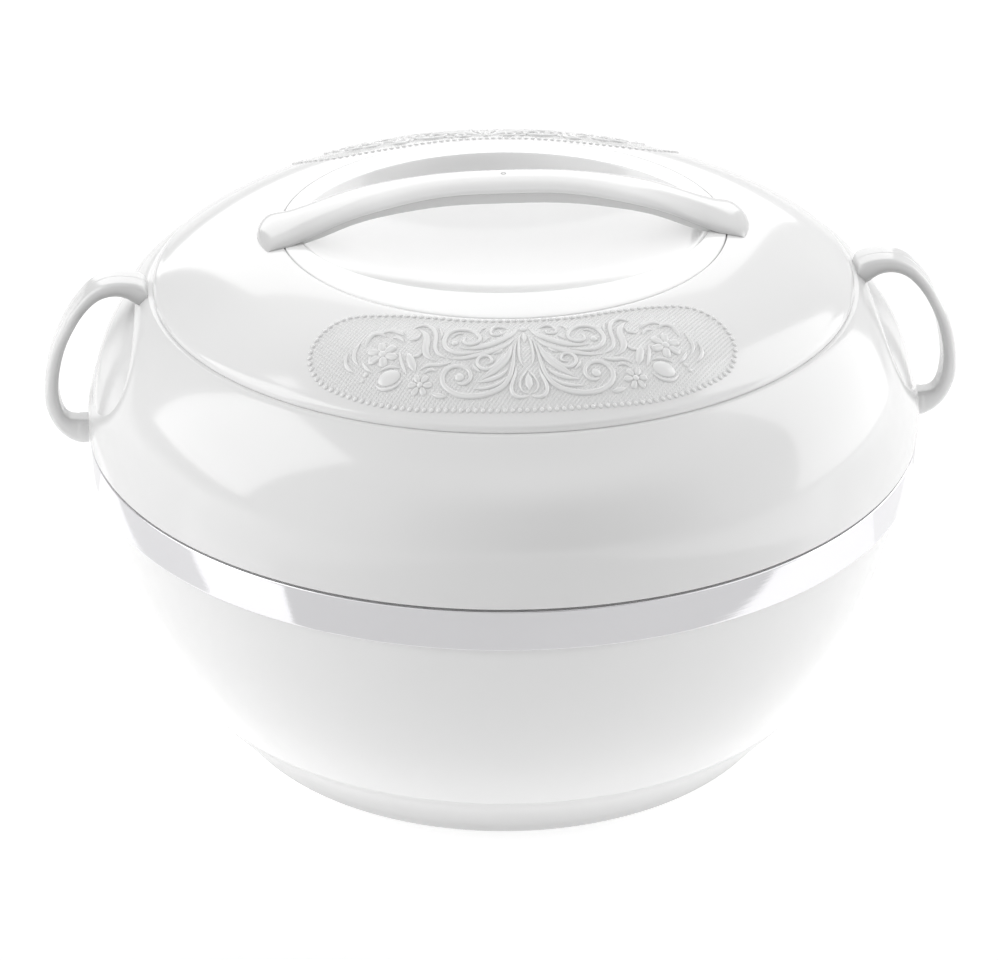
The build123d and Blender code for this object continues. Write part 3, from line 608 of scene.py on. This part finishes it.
for f in np.linspace(0.03, 1, 40):
    cup_row(f * (re_ - 6.6))
for d in np.linspace(-6.3, -1.5, 20):
    cup_row(re_ + d)
for d in (-1.2, -0.85, -0.55, -0.3, -0.1, 0.1, 0.3, 0.55, 0.85, 1.2):
    cup_row(re_ + d)
for f in np.linspace(0.08, 1, 12):
    cup_row((re_ + 1.2) * (1 - f) + 88.3 * f)
edge = cup_top(88.3 * np.cos(th), 88.3 * np.sin(th))
for a in (30, 60, 90):
    add_row(88.3 + 0.5 * math.sin(math.radians(a)), edge - 0.5 + 0.5 * math.cos(math.radians(a)))
add_row(88.8, 215.0)
add_row(86.7, 215.0)
for f in np.linspace(0, 1, 28):
    cup_row(86.6 * (1 - f) + (re_ - 8) * f, 2.2)
for f in np.linspace(0.96, 0.05, 22):
    cup_row(f * (re_ - 8), 2.2)
verts.append((0, 0, float(cup_top(np.array(0.0), np.array(0.0), 2.2))))
last = len(verts) - 1
faces = [(0, rows_[0][k], rows_[0][(k + 1) % CS]) for k in range(CS)]
for a, b in zip(rows_, rows_[1:]):
    faces += [(a[k], a[(k + 1) % CS], b[(k + 1) % CS], b[k]) for k in range(CS)]
faces += [(last, rows_[-1][(k + 1) % CS], rows_[-1][k]) for k in range(CS)]
cup = make_object("grip_cup", verts, faces)
place(cup, LID, "white_lid", "lid_cup", mat=cup_white_painted_light)

# arched bar: crowned cap with a crisp lower edge, an inset web beneath it, and broad feet that run out on the lid
def even(points, x):
    """Smooth curve through points (x, value), mirrored about x = 0."""
    pts = [(-a, b) for a, b in points[:0:-1]] + list(points)
    c = spline(pts, 400)
    return float(np.interp(x, c[:, 0], c[:, 1]))


def lid_surface(x, y):
    r = math.hypot(x, y)
    if r < 88.9:
        return float(cup_top(np.array(x), np.array(y)))
    return float(dome_z(r))


bar_w = [(0, 9.5), (25, 9.7), (45, 11.3), (59, 12.8), (69, 14.0), (79, 15.4), (88, 16.7), (94.3, 17.5), (99, 17.9)]
bar_edge = [(0, 240.2), (25, 239.4), (45.5, 236.1), (59.4, 232.8), (69.3, 229.4), (79.3, 225.4), (88, 222.9), (94.3, 221.5), (99, 220.4)]
bar_crest = [(0, 244.6), (25, 243.7), (45.5, 240.6), (59.4, 237.2), (69.3, 233.7), (79.3, 229.8), (88, 226.7), (94.3, 224.9), (99, 223.4)]
bar_web = [(0, 234.8), (25, 234.2), (40, 232.7), (53.5, 230.6), (61.4, 228.6), (69.3, 225.8), (79.3, 222.7), (88, 221.0), (99, 219.0)]
painted_shades = []
stations = 98.1 * np.sin(np.linspace(-math.pi / 2, math.pi / 2, 181))
across = np.array([math.copysign(1 - (1 - abs(s)) ** 1.8, s) for s in np.linspace(-1, 1, 41)])
rings = []
for u in stations:
    au = abs(u)
    a, ze, zc, zw = even(bar_w, u), even(bar_edge, u), even(bar_crest, u), even(bar_web, u)
    bow = 3.8 * max(0.0, (au - 76) / 22.1) ** 2
    run = math.sqrt(max(0.0, 1 - max(0.0, (au - 89.0) / 9.1) ** 4))

    ring = []
    tops = []
    for v in across:
        x = u - math.copysign(bow * v * v, u)
        lz = lid_surface(x, v * a)
        foot = max(ze, lid_surface(u - math.copysign(bow, u), a) + 0.55)
        z = foot + (max(zc, foot + 1.0) - foot) * (1 - abs(v) ** 2.0) ** 0.5
        z = lz + (z - lz) * run - 0.15 * (1 - run)
        tops.append(z)
        ring.append((x, v * a, z))
        # painted shade: darker towards both long edges of the cap and towards its ends
        painted_shades.append(0.10 * max(0.0, (abs(v) - 0.5) / 0.5) ** 2.0 + 0.22 * min(1.0, max(0.0, (au - 50) / 30)))
    for sgn in (1, -1):
        low = tops[-1] if sgn > 0 else tops[0]
        inset = []
        for dv, dz in ((0.0, -0.3), (0.25, -0.5), (1.4, -0.5)):
            v = sgn * (1 - dv / a)
            inset.append((u - math.copysign(bow * v * v, u), v * a, low + dz))
        for dv, dz in ((1.5, 0.8), (1.75, 0.3), (2.3, 0.0)):
            v = sgn * (1 - dv / a)
            x = u - math.copysign(bow * v * v, u)
            z = max(zw, lid_surface(x, v * a) - 0.3) + dz
            inset.append((x, v * a, min(z, low - 0.52 - 0.02 * dv)))
        ring += inset if sgn > 0 else inset[::-1]
        # painted shade on the inset web under the cap
        painted_shades += [0.25] * len(inset)
    rings.append(ring)
vs, fs = loft(rings)
bar = make_object("grip_bar", vs, fs, sharp=40, painted_shade=painted_shades)
place(bar, LID, "white_handle", "lid_bar", mat=bar_white_painted_light)

# lid underside
under = lathe("lid_base_ring_skin", rounded([(119.6, 201.6), (119.6, 190.2, 0.3), (121.6, 190.2, 0.6), (121.6, 193.0, 0.2), (120.6, 193.0), (120.6, 196.4), (121.6, 196.4, 0.2), (121.6, 199.7, 0.8), (137.3, 199.7, 0.4), (137.3, 200.9, 0.2), (134.5, 201.6)]), 300)
place(under, LID, "white_lid", "lid_base_ring", mat=relief_white)
seal = lathe("lid_seal_skin", rounded([(120.7, 193.1), (121.7, 193.1, 0.3), (123.55, 194.0, 0.4), (123.55, 195.0, 0.4), (121.7, 196.3, 0.3), (120.7, 196.3)]), 300)
place(seal, LID, "seal_rubber", "lid_seal", mat=seal_mat)
pan_sect = [(0, 187.0), (30, 187.0), (60, 187.0), (90, 187.0), (96, 187.0), (96.8, 187.25), (99.2, 187.25), (100, 187.0), (108, 187.0)] + arc(115.3, 191.0, 4.0, -90, 0, 9) + [(119.3, 200.6), (118.6, 200.6)] + arc(115.3, 191.0, 3.3, 0, -90, 7) + [(0, 187.7)]
pan = lathe("lid_pan", pan_sect, 300)
place(pan, LID, "bowl_steel", "lid_liner", mat=steel)


# -------------------------------------------------------------------- ornament
RELIEF = 0.85  # scale of all heights in the ornament


class Relief:
    """Collects raised shapes that lie on the dome; a second copy is turned half round for the rear field."""

    def __init__(self):
        self.v, self.f, self.s = [], [], []

    def lift(self, x, y, h):
        """Point on the dome at plan (x, y), raised by h along its normal."""
        r = np.hypot(x, y)
        z = dome_z(r)
        nr = (r - D_CR) / D_R
        nz = np.sqrt(1 - nr**2)
        s = (r + h * nr) / r
        return np.stack([x * s, y * s, z + h * nz], axis=-1)

    def grid(self, top, painted_shade):
        """Closed solid from a grid of raised points (rows along, columns across) and its sunk base; painted_shade
        is the painted shade of its points.
        """
        n, m = top.shape[:2]
        for turn in (1, -1):
            base = len(self.v)
            pts = top.reshape(-1, 3) * np.array([turn, turn, 1])
            self.v.extend(map(tuple, pts))
            self.s.extend(np.broadcast_to(painted_shade, (n, m)).ravel().tolist())
            idx = lambda i, j: base + i * m + j
            for i in range(n - 1):
                for j in range(m - 1):
                    self.f.append((idx(i, j), idx(i, j + 1), idx(i + 1, j + 1), idx(i + 1, j)))
            # underside strip between the two long edges
            for i in range(n - 1):
                self.f.append((idx(i, 0), idx(i + 1, 0), idx(i + 1, m - 1), idx(i, m - 1)))
            self.f.append(tuple(idx(0, j) for j in range(m - 1, -1, -1)))
            self.f.append(tuple(idx(n - 1, j) for j in range(m)))

    def stroke(self, pts, width, height_in=0.9, vein=0.0, mirror=True, taper=(0.25, 0.35)):
        """Rounded ridge along a plan curve. width: half-widths along it."""
        for sgn in ((1, -1) if mirror else (1,)):
            p = np.array(pts, float) * np.array([sgn, 1])
            n = max(10, int(5 * len(p)))
            c = spline(p, n)
            t = np.gradient(c, axis=0)
            t /= np.linalg.norm(t, axis=1)[:, None]
            side = np.stack([-t[:, 1], t[:, 0]], axis=1)
            u = np.linspace(0, 1, n)
            w = np.interp(u, np.linspace(0, 1, len(width)), width) * 0.92
            height = height_in * RELIEF
            ends = np.minimum(1, np.minimum((u + 0.012) / taper[0], (1.012 - u) / taper[1]))
            w = w * np.sqrt(ends * (2 - ends))
            cols = np.array([-1.0, -0.94, -0.78, -0.55, -0.28, 0.0, 0.28, 0.55, 0.78, 0.94, 1.0])
            prof = np.array([-0.38, 0.16, 0.52, 0.8, 0.96, 1.0, 0.96, 0.8, 0.52, 0.16, -0.38])
            if vein:
                prof = prof - vein * np.exp(-((cols / 0.2) ** 2))
            hh = height * np.sqrt(np.clip(ends, 0.05, 1))
            x = c[:, 0:1] + side[:, 0:1] * w[:, None] * cols
            y = c[:, 1:2] + side[:, 1:2] * w[:, None] * cols
            h = np.where(prof[None, :] < 0, prof[None, :], hh[:, None] * prof[None, :])
            # painted shade: darker along both edges of each ridge and down its vein
            low = np.where(prof < 0.3, 0.2, np.where(prof < 0.6, 0.06, 0.0)) + (0.2 * vein * np.exp(-((cols / 0.2) ** 2)) if vein else 0.0)
            self.grid(self.lift(x, y, h), low)

    def boss(self, cx, cy, rx, ry=None, height=0.9, turn=0.0, mirror=True, seg=16, rows=6):
        """Rounded button."""
        ry = rx if ry is None else ry
        for sgn in ((1, -1) if mirror else (1,)):
            a = np.arange(seg) * 2 * math.pi / seg
            ca, sa = math.cos(math.radians(turn)), math.sin(math.radians(turn))
            rings_ = []
            for k in range(rows + 1):
                ph = (k / rows) * math.pi / 2
                rr = math.cos(ph)
                h = RELIEF * height * math.sin(ph) if k else -0.35
                if k == rows:
                    rr = 0.04
                ex, ey = rx * rr * np.cos(a), ry * rr * np.sin(a)
                x = sgn * (cx + ex * ca - ey * sa)
                y = cy + ex * sa + ey * ca
                rings_.append(self.lift(x, y, np.full(seg, h)))
            for half_turn in (1, -1):
                base_ = len(self.v)
                for k, rg in enumerate(rings_):
                    self.v.extend(map(tuple, rg * np.array([half_turn, half_turn, 1])))
                    # painted shade round the foot of each button and bead
                    self.s.extend([(0.22, 0.14, 0.04)[k] if k < 3 else 0.0] * seg)
                for k in range(rows):
                    for j in range(seg):
                        j2 = (j + 1) % seg
                        self.f.append((base_ + k * seg + j, base_ + k * seg + j2, base_ + (k + 1) * seg + j2, base_ + (k + 1) * seg + j))
                self.f.append(tuple(base_ + j for j in range(seg - 1, -1, -1)))
                self.f.append(tuple(base_ + rows * seg + j for j in range(seg)))

    def flower(self, cx, cy, petals, length, w, start=0.0, height=0.95):
        for k in range(petals):
            a = math.radians(start + 360 * k / petals)
            d = np.array([math.cos(a), math.sin(a)])
            p0, p1 = np.array([cx, cy]) + d * 0.9, np.array([cx, cy]) + d * length
            pm = (p0 + p1) / 2
            self.stroke([p0, pm, p1], [0.4 * w, 0.95 * w, w, 0.8 * w], height, vein=0.32, taper=(0.3, 0.22))
        self.boss(cx, cy, 0.27 * length, height=height + 0.25)


orn = Relief()
S = orn.stroke
# middle: drop, heart-shaped foot, stems and knot
S([(0, -119.9), (0, -123.0), (0, -127.0)], [0.5, 1.7, 1.9, 0.6], 1.1, mirror=False)
S([(0.3, -118.6), (2.5, -121.8), (3.4, -124.8), (2.4, -127.3), (0.6, -128.2)], [0.45, 0.6, 0.6, 0.5], 0.8)
S([(0.5, -129.0), (2.8, -129.6), (5.6, -128.8), (6.7, -126.2), (5.9, -122.8), (4.7, -119.4), (4.2, -116.2)], [0.7, 0.95, 0.95, 0.8, 0.5], 0.95)
S([(0, -98.8), (0, -101.4), (0, -104.6)], [0.9, 1.3, 0.5], 0.95, mirror=False)
orn.boss(0, -96.6, 1.5, height=1.0, mirror=False)
S([(1.5, -100.6), (2.3, -105.0), (2.7, -110.0), (2.3, -114.2), (1.1, -117.2)], [0.5, 0.7, 0.7, 0.4], 0.8)
# big lower scroll with its leaves
S([(3.1, -103.6), (4.3, -109.0), (5.1, -114.0), (6.2, -119.0), (8.5, -123.6), (13.0, -126.6), (19.0, -127.7), (25.0, -126.9), (29.8, -124.0), (32.0, -119.7), (30.8, -116.0), (27.6, -114.2), (24.0, -114.8), (21.7, -117.2), (21.7, -120.4), (24.0, -122.3), (26.6, -121.3)], [0.5, 0.8, 1.1, 1.3, 1.35, 1.3, 1.2, 1.1, 1.0, 0.9], 1.05, vein=0.18, taper=(0.1, 0.06))
orn.boss(25.6, -119.2, 1.9, height=1.05)
S([(7.6, -120.6), (11.0, -123.4), (16.0, -124.9), (21.0, -124.7)], [0.6, 0.9, 0.9, 0.5], 0.8)
S([(4.9, -105.2), (6.6, -110.6), (9.6, -115.0), (13.6, -118.4), (17.4, -121.2)], [0.8, 1.5, 1.9, 1.8, 0.9], 1.0, vein=0.35)
S([(7.2, -117.4), (10.4, -120.2), (14.6, -121.7), (19.2, -122.4)], [0.5, 1.1, 1.2, 0.5], 0.85)
S([(17.6, -118.0), (19.2, -116.2), (20.4, -113.6)], [0.5, 0.8, 0.5], 0.75)
# small spiral
S([(7.0, -109.4), (9.6, -112.6), (12.4, -115.8), (15.4, -117.0), (18.0, -115.4), (18.4, -112.4), (15.9, -110.6), (13.3, -111.7), (13.2, -113.9), (15.2, -114.5)], [0.6, 0.9, 0.95, 0.9, 0.8, 0.7], 0.95, taper=(0.15, 0.1))
S([(8.4, -107.6), (10.8, -109.4), (12.4, -109.8)], [0.4, 0.8, 0.4], 0.7)
# upper leaves and scroll
S([(1.9, -96.2), (5.0, -100.0), (9.5, -103.0), (14.5, -105.2), (19.6, -106.1), (24.4, -105.4)], [0.7, 1.3, 1.7, 1.7, 1.2, 0.5], 1.0, vein=0.3)
S([(3.6, -101.6), (7.0, -105.4), (12.0, -108.2), (18.0, -109.9), (24.2, -110.6), (29.4, -109.8)], [0.6, 1.1, 1.4, 1.3, 1.2, 0.7], 1.0, vein=0.28)
S([(16.8, -108.0), (22.0, -108.6), (26.8, -107.3), (29.7, -104.0), (29.9, -99.8), (27.6, -96.4), (24.0, -95.1), (20.4, -95.7), (17.5, -98.2), (16.6, -101.4), (18.4, -103.7), (21.3, -103.8), (22.9, -101.8), (21.9, -99.9)], [0.6, 1.0, 1.2, 1.2, 1.1, 1.0, 0.9, 0.8], 1.05, vein=0.15, taper=(0.12, 0.08))
orn.boss(26.2, -102.4, 1.5, height=0.95)
S([(22.4, -97.6), (25.0, -97.5), (27.2, -99.6)], [0.5, 0.7, 0.5], 0.75)
S([(6.2, -96.2), (8.6, -95.0), (11.6, -95.9), (12.3, -98.4), (10.4, -99.8), (8.5, -98.7), (9.1, -97.2)], [0.5, 0.75, 0.8, 0.7, 0.6], 0.85, taper=(0.15, 0.12))
S([(12.6, -100.6), (14.4, -101.8), (15.6, -103.4)], [0.4, 0.8, 0.4], 0.7)
S([(13.8, -94.8), (16.2, -96.2), (17.0, -98.4)], [0.4, 0.7, 0.4], 0.7)
# tall double-curved leaf
S([(40.4, -91.2), (37.4, -90.3), (34.4, -91.7), (33.0, -95.4), (33.2, -100.0), (33.6, -104.0), (32.4, -107.4), (29.8, -109.6)], [0.7, 1.1, 1.2, 1.1, 1.0, 0.7], 1.0, taper=(0.15, 0.2))
S([(38.8, -92.4), (36.9, -95.4), (36.5, -99.5), (37.3, -103.5), (36.8, -107.2), (33.4, -110.6)], [0.7, 1.5, 1.9, 1.8, 1.4, 0.7], 1.05, vein=0.3)
S([(31.4, -92.6), (30.6, -95.8), (31.0, -99.2)], [0.4, 0.8, 0.4], 0.8)
S([(38.6, -95.2), (40.2, -97.6), (43.0, -97.8)], [0.5, 1.0, 0.6], 0.9)
S([(38.4, -104.6), (40.6, -106.8), (43.0, -106.2)], [0.5, 0.9, 0.5], 0.85)
S([(28.4, -112.0), (32.6, -112.6), (36.6, -112.0), (40.0, -113.6)], [0.6, 1.0, 1.0, 0.5], 0.9)
S([(33.8, -115.4), (36.2, -114.2), (38.8, -115.6)], [0.4, 0.9, 0.4], 0.8)
# bud, flowers, round leaf
S([(43.9, -104.4), (43.0, -109.0), (41.8, -114.0)], [0.8, 2.0, 2.0, 0.8], 1.1, vein=0.3)
S([(46.9, -103.4), (46.6, -108.2), (45.0, -114.4)], [0.5, 0.9, 0.9, 0.5], 0.9)
orn.flower(40.4, -120.0, 6, 4.7, 1.5, start=12)
S([(30.8, -126.6), (33.6, -125.6), (36.4, -124.4)], [0.5, 1.3, 1.2, 0.4], 0.9, vein=0.25)
orn.boss(51.6, -114.3, 4.4, 3.4, height=1.15, turn=-12, seg=24, rows=8)
S([(46.8, -116.6), (50.2, -118.8), (54.8, -118.2), (57.0, -115.6)], [0.4, 0.8, 0.8, 0.4], 0.9)
S([(47.4, -111.0), (51.0, -109.6), (55.4, -110.8)], [0.4, 0.9, 0.9, 0.4], 0.85)
orn.flower(53.4, -102.8, 6, 6.2, 2.1, start=30, height=1.0)
S([(44.2, -95.4), (46.4, -92.6), (50.0, -91.0), (52.6, -91.8)], [0.5, 1.2, 1.2, 0.5], 0.95, vein=0.2)
S([(51.4, -94.4), (53.6, -91.8), (56.4, -91.8), (58.7, -94.8), (59.4, -97.6)], [0.5, 1.1, 1.3, 1.2, 0.5], 0.95, vein=0.2)
S([(45.0, -98.6), (46.4, -96.0), (49.2, -95.2)], [0.5, 1.0, 0.5], 0.85)
S([(61.4, -95.0), (63.5, -98.4), (64.0, -102.2), (62.6, -105.6)], [0.5, 1.0, 1.0, 0.4], 0.95)
S([(66.1, -98.8), (67.3, -102.4), (66.3, -106.0), (64.2, -108.4)], [0.4, 0.95, 0.95, 0.4], 0.95)
S([(57.6, -110.4), (60.0, -107.4), (61.2, -104.0)], [0.4, 0.9, 0.4], 0.85)
orn.boss(60.2, -110.6, 1.0, height=0.8)
orn.boss(61.6, -112.8, 0.8, height=0.7)
scrolls = make_object("lid_scrolls", orn.v, orn.f, sharp=60, painted_shade=orn.s)
place(scrolls, LID, "white_lid", mat=relief_white)

# row of beads round each field
beads = Relief()
step = np.concatenate([[0], np.cumsum(np.linalg.norm(np.diff(np.vstack([field_edge, field_edge[:1]]), axis=0), axis=1))])
count = int(round(step[-1] / 2.75))
loop = np.vstack([field_edge, field_edge[:1]])
for q in np.arange(count) * step[-1] / count:
    beads.boss(float(np.interp(q, step, loop[:, 0])), float(np.interp(q, step, loop[:, 1])), 1.02, height=0.85, mirror=False, seg=12, rows=4)
row = make_object("lid_beads", beads.v, beads.f, sharp=70, painted_shade=beads.s)
place(row, LID, "white_lid", mat=relief_white)

# small gate mark on top of the bar, coloured with the dark rubber as painted shade in its dimple
gate = lathe("bar_gate_mark", [(0, 244.56), (0.45, 244.54), (0.75, 244.66), (1.05, 244.64), (1.25, 244.4), (0.9, 244.0), (0, 244.0)], 24)
place(gate, LID, "white_handle", mat=foot_mat)

# hidden pieces keep their solids
for name, mat in (("body_foam", foam_mat), ("lid_foam", foam_mat), ("handle_screws", screw_steel), ("handle_washers", screw_steel), ("lid_bar_screws", screw_steel)):
    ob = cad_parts[name]
    for sl in ob.material_slots:
        sl.material = mat

# ---------------------------------------------------------------- stage, light
sc = bpy.context.scene
sc.view_settings.view_transform = "Standard"
sc.view_settings.look = "None"
sc.view_settings.exposure = 0.0
sc.view_settings.gamma = 1.0


def sheet(name, pts, z, mat):
    """Flat card on or just above the table."""
    me = bpy.data.meshes.new(name)
    me.from_pydata([(x, y, z) for x, y in pts], [], [tuple(range(len(pts)))])
    ob = bpy.data.objects.new(name, me)
    me.materials.append(mat)
    sc.collection.objects.link(ob)
    return ob


def stage_material(name, level, glow):
    m, nt, b = new_material(name)
    n = node(nt, "ShaderNodeTexNoise", Scale=3.0, Detail=2.0)
    co_ = nt.nodes.new("ShaderNodeTexCoord")
    nt.links.new(co_.outputs["Object"], n.inputs["Vector"])
    c = ramp(nt, n.outputs["Fac"], [(0.3, grey(level - 0.005)), (0.7, grey(level + 0.005))])
    nt.links.new(c.outputs["Color"], b.inputs["Base Color"])
    b.inputs["Roughness"].default_value = 0.8
    b.inputs["Specular IOR Level"].default_value = 0.1
    b.inputs["Emission Color"].default_value = (1, 1, 1, 1)
    b.inputs["Emission Strength"].default_value = glow
    return m


floor_mat = stage_material("floor_white", 0.80, 0.0)
# painted light: the table glows, a little more near the bowl and most in a ring round its foot, which lifts its
# contact shadow
fnt = floor_mat.node_tree
fco = fnt.nodes.new("ShaderNodeTexCoord")
flen = fnt.nodes.new("ShaderNodeVectorMath")
flen.operation = "LENGTH"
fnt.links.new(fco.outputs["Object"], flen.inputs[0])
fmap = fnt.nodes.new("ShaderNodeMapRange")
fmap.name = "floor_glow"
fmap.interpolation_type = "SMOOTHSTEP"
fnt.links.new(flen.outputs["Value"], fmap.inputs["Value"])
fring = fnt.nodes.new("ShaderNodeMapRange")
fring.name = "floor_ring"
fring.interpolation_type = "SMOOTHSTEP"
fnt.links.new(flen.outputs["Value"], fring.inputs["Value"])
for n, vals in ((fmap, (0.18, 0.50, 0.33, 0.28)), (fring, (0.11, 0.20, 0.28, 0.0))):
    for key, val in zip(("From Min", "From Max", "To Min", "To Max"), vals):
        n.inputs[key].default_value = val
fsum = fnt.nodes.new("ShaderNodeMath")
fsum.operation = "ADD"
fnt.links.new(fmap.outputs[0], fsum.inputs[0])
fnt.links.new(fring.outputs[0], fsum.inputs[1])
fnt.links.new(fsum.outputs[0], fnt.nodes["Principled BSDF"].inputs["Emission Strength"])
# the plain floor is what is seen; just below it lie the bounce floor and the grey cards that only light and reflect
seen_floor = sheet("floor", [(-6, -6), (6, -6), (6, 6), (-6, 6)], 0.0, floor_mat)
seen_floor.visible_diffuse = False
seen_floor.visible_glossy = False
seen_floor.visible_transmission = False
seen_floor.visible_volume_scatter = False
seen_floor.visible_shadow = False
bounce_floor = sheet("bounce_floor", [(-6, -6), (6, -6), (6, 6), (-6, 6)], -0.0016, floor_mat)
bounce_floor.visible_camera = False
# grey and white cards on the table outside the picture, as reflectors
CARDS = {
    "front_card": ([(-0.36, -1.6), (0.36, -1.6), (0.36, -0.138), (0.22, -0.242), (0.215, -0.245), (-0.195, -0.245), (-0.205, -0.212), (-0.36, -0.212)], 0.5, 0.19),
    "left_front_card": ([(-1.5, -0.9), (-0.37, -0.9), (-0.37, -0.1), (-1.5, -0.1)], 0.8, 0.18),
    "right_front_card": ([(0.38, -0.9), (1.5, -0.9), (1.5, -0.1), (0.38, -0.1)], 0.8, 0.6),
    "left_card": ([(-1.5, -0.04), (-0.36, -0.04), (-0.31, -0.095), (-0.31, 0.5), (-1.5, 0.5)], 0.7, 0.12),
    "rear_card": ([(-0.28, 0.2), (0.28, 0.2), (0.28, 0.52), (1.4, 0.52), (1.4, 1.6), (-1.4, 1.6), (-1.4, 0.52), (-0.28, 0.52)], 0.62, 0.3),
    "rear_near_card": ([(-0.12, 0.1), (0.12, 0.1), (0.12, 0.199), (-0.12, 0.199)], 0.4, 0.0),
    "right_card": ([(0.29, 0.03), (1.5, 0.03), (1.5, 0.5), (0.29, 0.5)], 0.7, 0.3),
}
for name, (pts, level, glow) in CARDS.items():
    card = sheet(name, pts, -0.0008, stage_material(name, level, glow))
    card.visible_camera = False


def area(name, az, el, dist, sx, sy, roll, radiance, color=(1, 1, 1)):
    """Rectangular soft box of a given brightness, placed by compass direction and height angle and aimed at the bowl."""
    a, e = math.radians(az), math.radians(el)
    d = Vector((math.sin(a) * math.cos(e), -math.cos(a) * math.cos(e), math.sin(e)))
    li = bpy.data.lights.new(name, "AREA")
    li.shape = "RECTANGLE"
    li.size, li.size_y = sx, sy
    li.energy = math.pi * sx * sy * radiance
    li.color = color
    ob = bpy.data.objects.new(name, li)
    ob.location = Vector((0, 0, 0.17)) + d * dist
    q = (-d).to_track_quat("-Z", "Y") @ Quaternion((0, 0, 1), math.radians(roll))
    ob.rotation_euler = q.to_euler()
    sc.collection.objects.link(ob)
    return ob


area("left_box", -88, 30, 1.7, 1.28, 1.55, -9, 1.8)


def panel(name, az, el, dist, corners, radiance):
    """Glowing flat panel facing the bowl; corners by compass direction and height angle."""
    def way(a, e):
        a, e = math.radians(a), math.radians(e)
        return Vector((math.sin(a) * math.cos(e), -math.cos(a) * math.cos(e), math.sin(e)))

    mid, origin = way(az, el), Vector((0, 0, 0.17))
    pts = [origin + way(a, e) * (dist / way(a, e).dot(mid)) for a, e in corners]
    me = bpy.data.meshes.new(name)
    me.from_pydata([tuple(q) for q in pts], [], [tuple(range(len(pts)))])
    me.materials.append(stage_material(name, 0.05, radiance))
    ob = bpy.data.objects.new(name, me)
    ob.visible_camera = False
    sc.collection.objects.link(ob)
    return ob


panel("right_box", 103, 25, 1.7, [(74, -3), (79, 13), (84, 27), (95, 57), (114, 56), (127, 37), (133, 23), (127, 4), (123, -3)], 2.0)
panel("back_box", 180, 22, 1.7, [(156, 4), (156, 37), (168, 40), (180, 42), (193, 40), (206, 37), (206, 4)], 1.66)

# soft surroundings: brightness by compass direction (0 = front, 90 = right) in a low and a high belt, and overhead
SKY_LOW = [(-180, 0.8), (-150, 0.42), (-120, 0.52), (-95, 0.34), (-75, 0.52), (-55, 0.86), (-35, 0.80), (-12, 0.38), (12, 0.0), (35, 0.34), (55, 1.0), (75, 0.88), (95, 0.42), (120, 0.42), (150, 0.85), (180, 0.8)]
SKY_HIGH = [(-180, 1.2), (-120, 0.52), (-60, 0.64), (0, 1.06), (60, 0.94), (120, 0.96), (180, 1.2)]
SKY_TOP = 0.35
world = bpy.data.worlds.new("studio")
sc.world = world
world.use_nodes = True
wt = world.node_tree
bg = wt.nodes["Background"]
wco = wt.nodes.new("ShaderNodeTexCoord")
wsep = wt.nodes.new("ShaderNodeSeparateXYZ")
wt.links.new(wco.outputs["Generated"], wsep.inputs[0])


def math_node(nt, op, a, b):
    n = nt.nodes.new("ShaderNodeMath")
    n.operation = op
    for i, v in enumerate((a, b)):
        if isinstance(v, (int, float)):
            n.inputs[i].default_value = v
        else:
            nt.links.new(v, n.inputs[i])
    return n.outputs[0]


def step_node(nt, value, lo, hi, t0, t1):
    n = nt.nodes.new("ShaderNodeMapRange")
    n.clamp = True
    nt.links.new(value, n.inputs["Value"])
    n.inputs["From Min"].default_value, n.inputs["From Max"].default_value = lo, hi
    n.inputs["To Min"].default_value, n.inputs["To Max"].default_value = t0, t1
    return n.outputs[0]


turn = math_node(wt, "ARCTAN2", wsep.outputs["X"], math_node(wt, "MULTIPLY", wsep.outputs["Y"], -1.0))
turn = math_node(wt, "MULTIPLY_ADD", turn, 1 / (2 * math.pi))
turn.node.inputs[2].default_value = 0.5
low = ramp(wt, turn, [(a / 360 + 0.5, grey(v)) for a, v in SKY_LOW])
high = ramp(wt, turn, [(a / 360 + 0.5, grey(v)) for a, v in SKY_HIGH])
low.name, high.name = "sky_low", "sky_high"
b_low = step_node(wt, wsep.outputs["Z"], 0.45, 0.72, 1.0, 0.0)
b_top = step_node(wt, wsep.outputs["Z"], 0.80, 0.97, 0.0, 1.0)
rest = math_node(wt, "SUBTRACT", 1.0, b_low)
b_high = math_node(wt, "MULTIPLY", rest, math_node(wt, "SUBTRACT", 1.0, b_top))
total = math_node(wt, "MULTIPLY", low.outputs["Color"], b_low)
total = math_node(wt, "ADD", total, math_node(wt, "MULTIPLY", high.outputs["Color"], b_high))
top_part = math_node(wt, "MULTIPLY", math_node(wt, "MULTIPLY", rest, b_top), SKY_TOP)
top_part.node.name = "sky_top"
total = math_node(wt, "ADD", total, top_part)
bg.inputs["Color"].default_value = (1.0, 1.0, 1.0, 1)
wt.links.new(total, bg.inputs["Strength"])

# camera: long lens, 26 degrees above the table, the bowl turned a little
az, el, dist = math.radians(-4.4), math.radians(26.15), 1.6307
back = Vector((math.sin(az) * math.cos(el), -math.cos(az) * math.cos(el), math.sin(el)))
target = Vector((0, 0, 0.1393))
right = Vector((math.cos(az), math.sin(az), 0))
up = back.cross(right)
cam_data = bpy.data.cameras.new("camera")
cam = bpy.data.objects.new("camera", cam_data)
sc.collection.objects.link(cam)
cam_data.sensor_width = 36.0
cam_data.lens = 144.0
cam_data.clip_end = 50
cam.location = target + back * dist
aim = target + right * (-3.3 * 0.4077 * MM) + up * (-67.7 * 0.4077 * MM)
cam.rotation_euler = (aim - cam.location).to_track_quat("-Z", "Y").to_euler()
sc.camera = cam
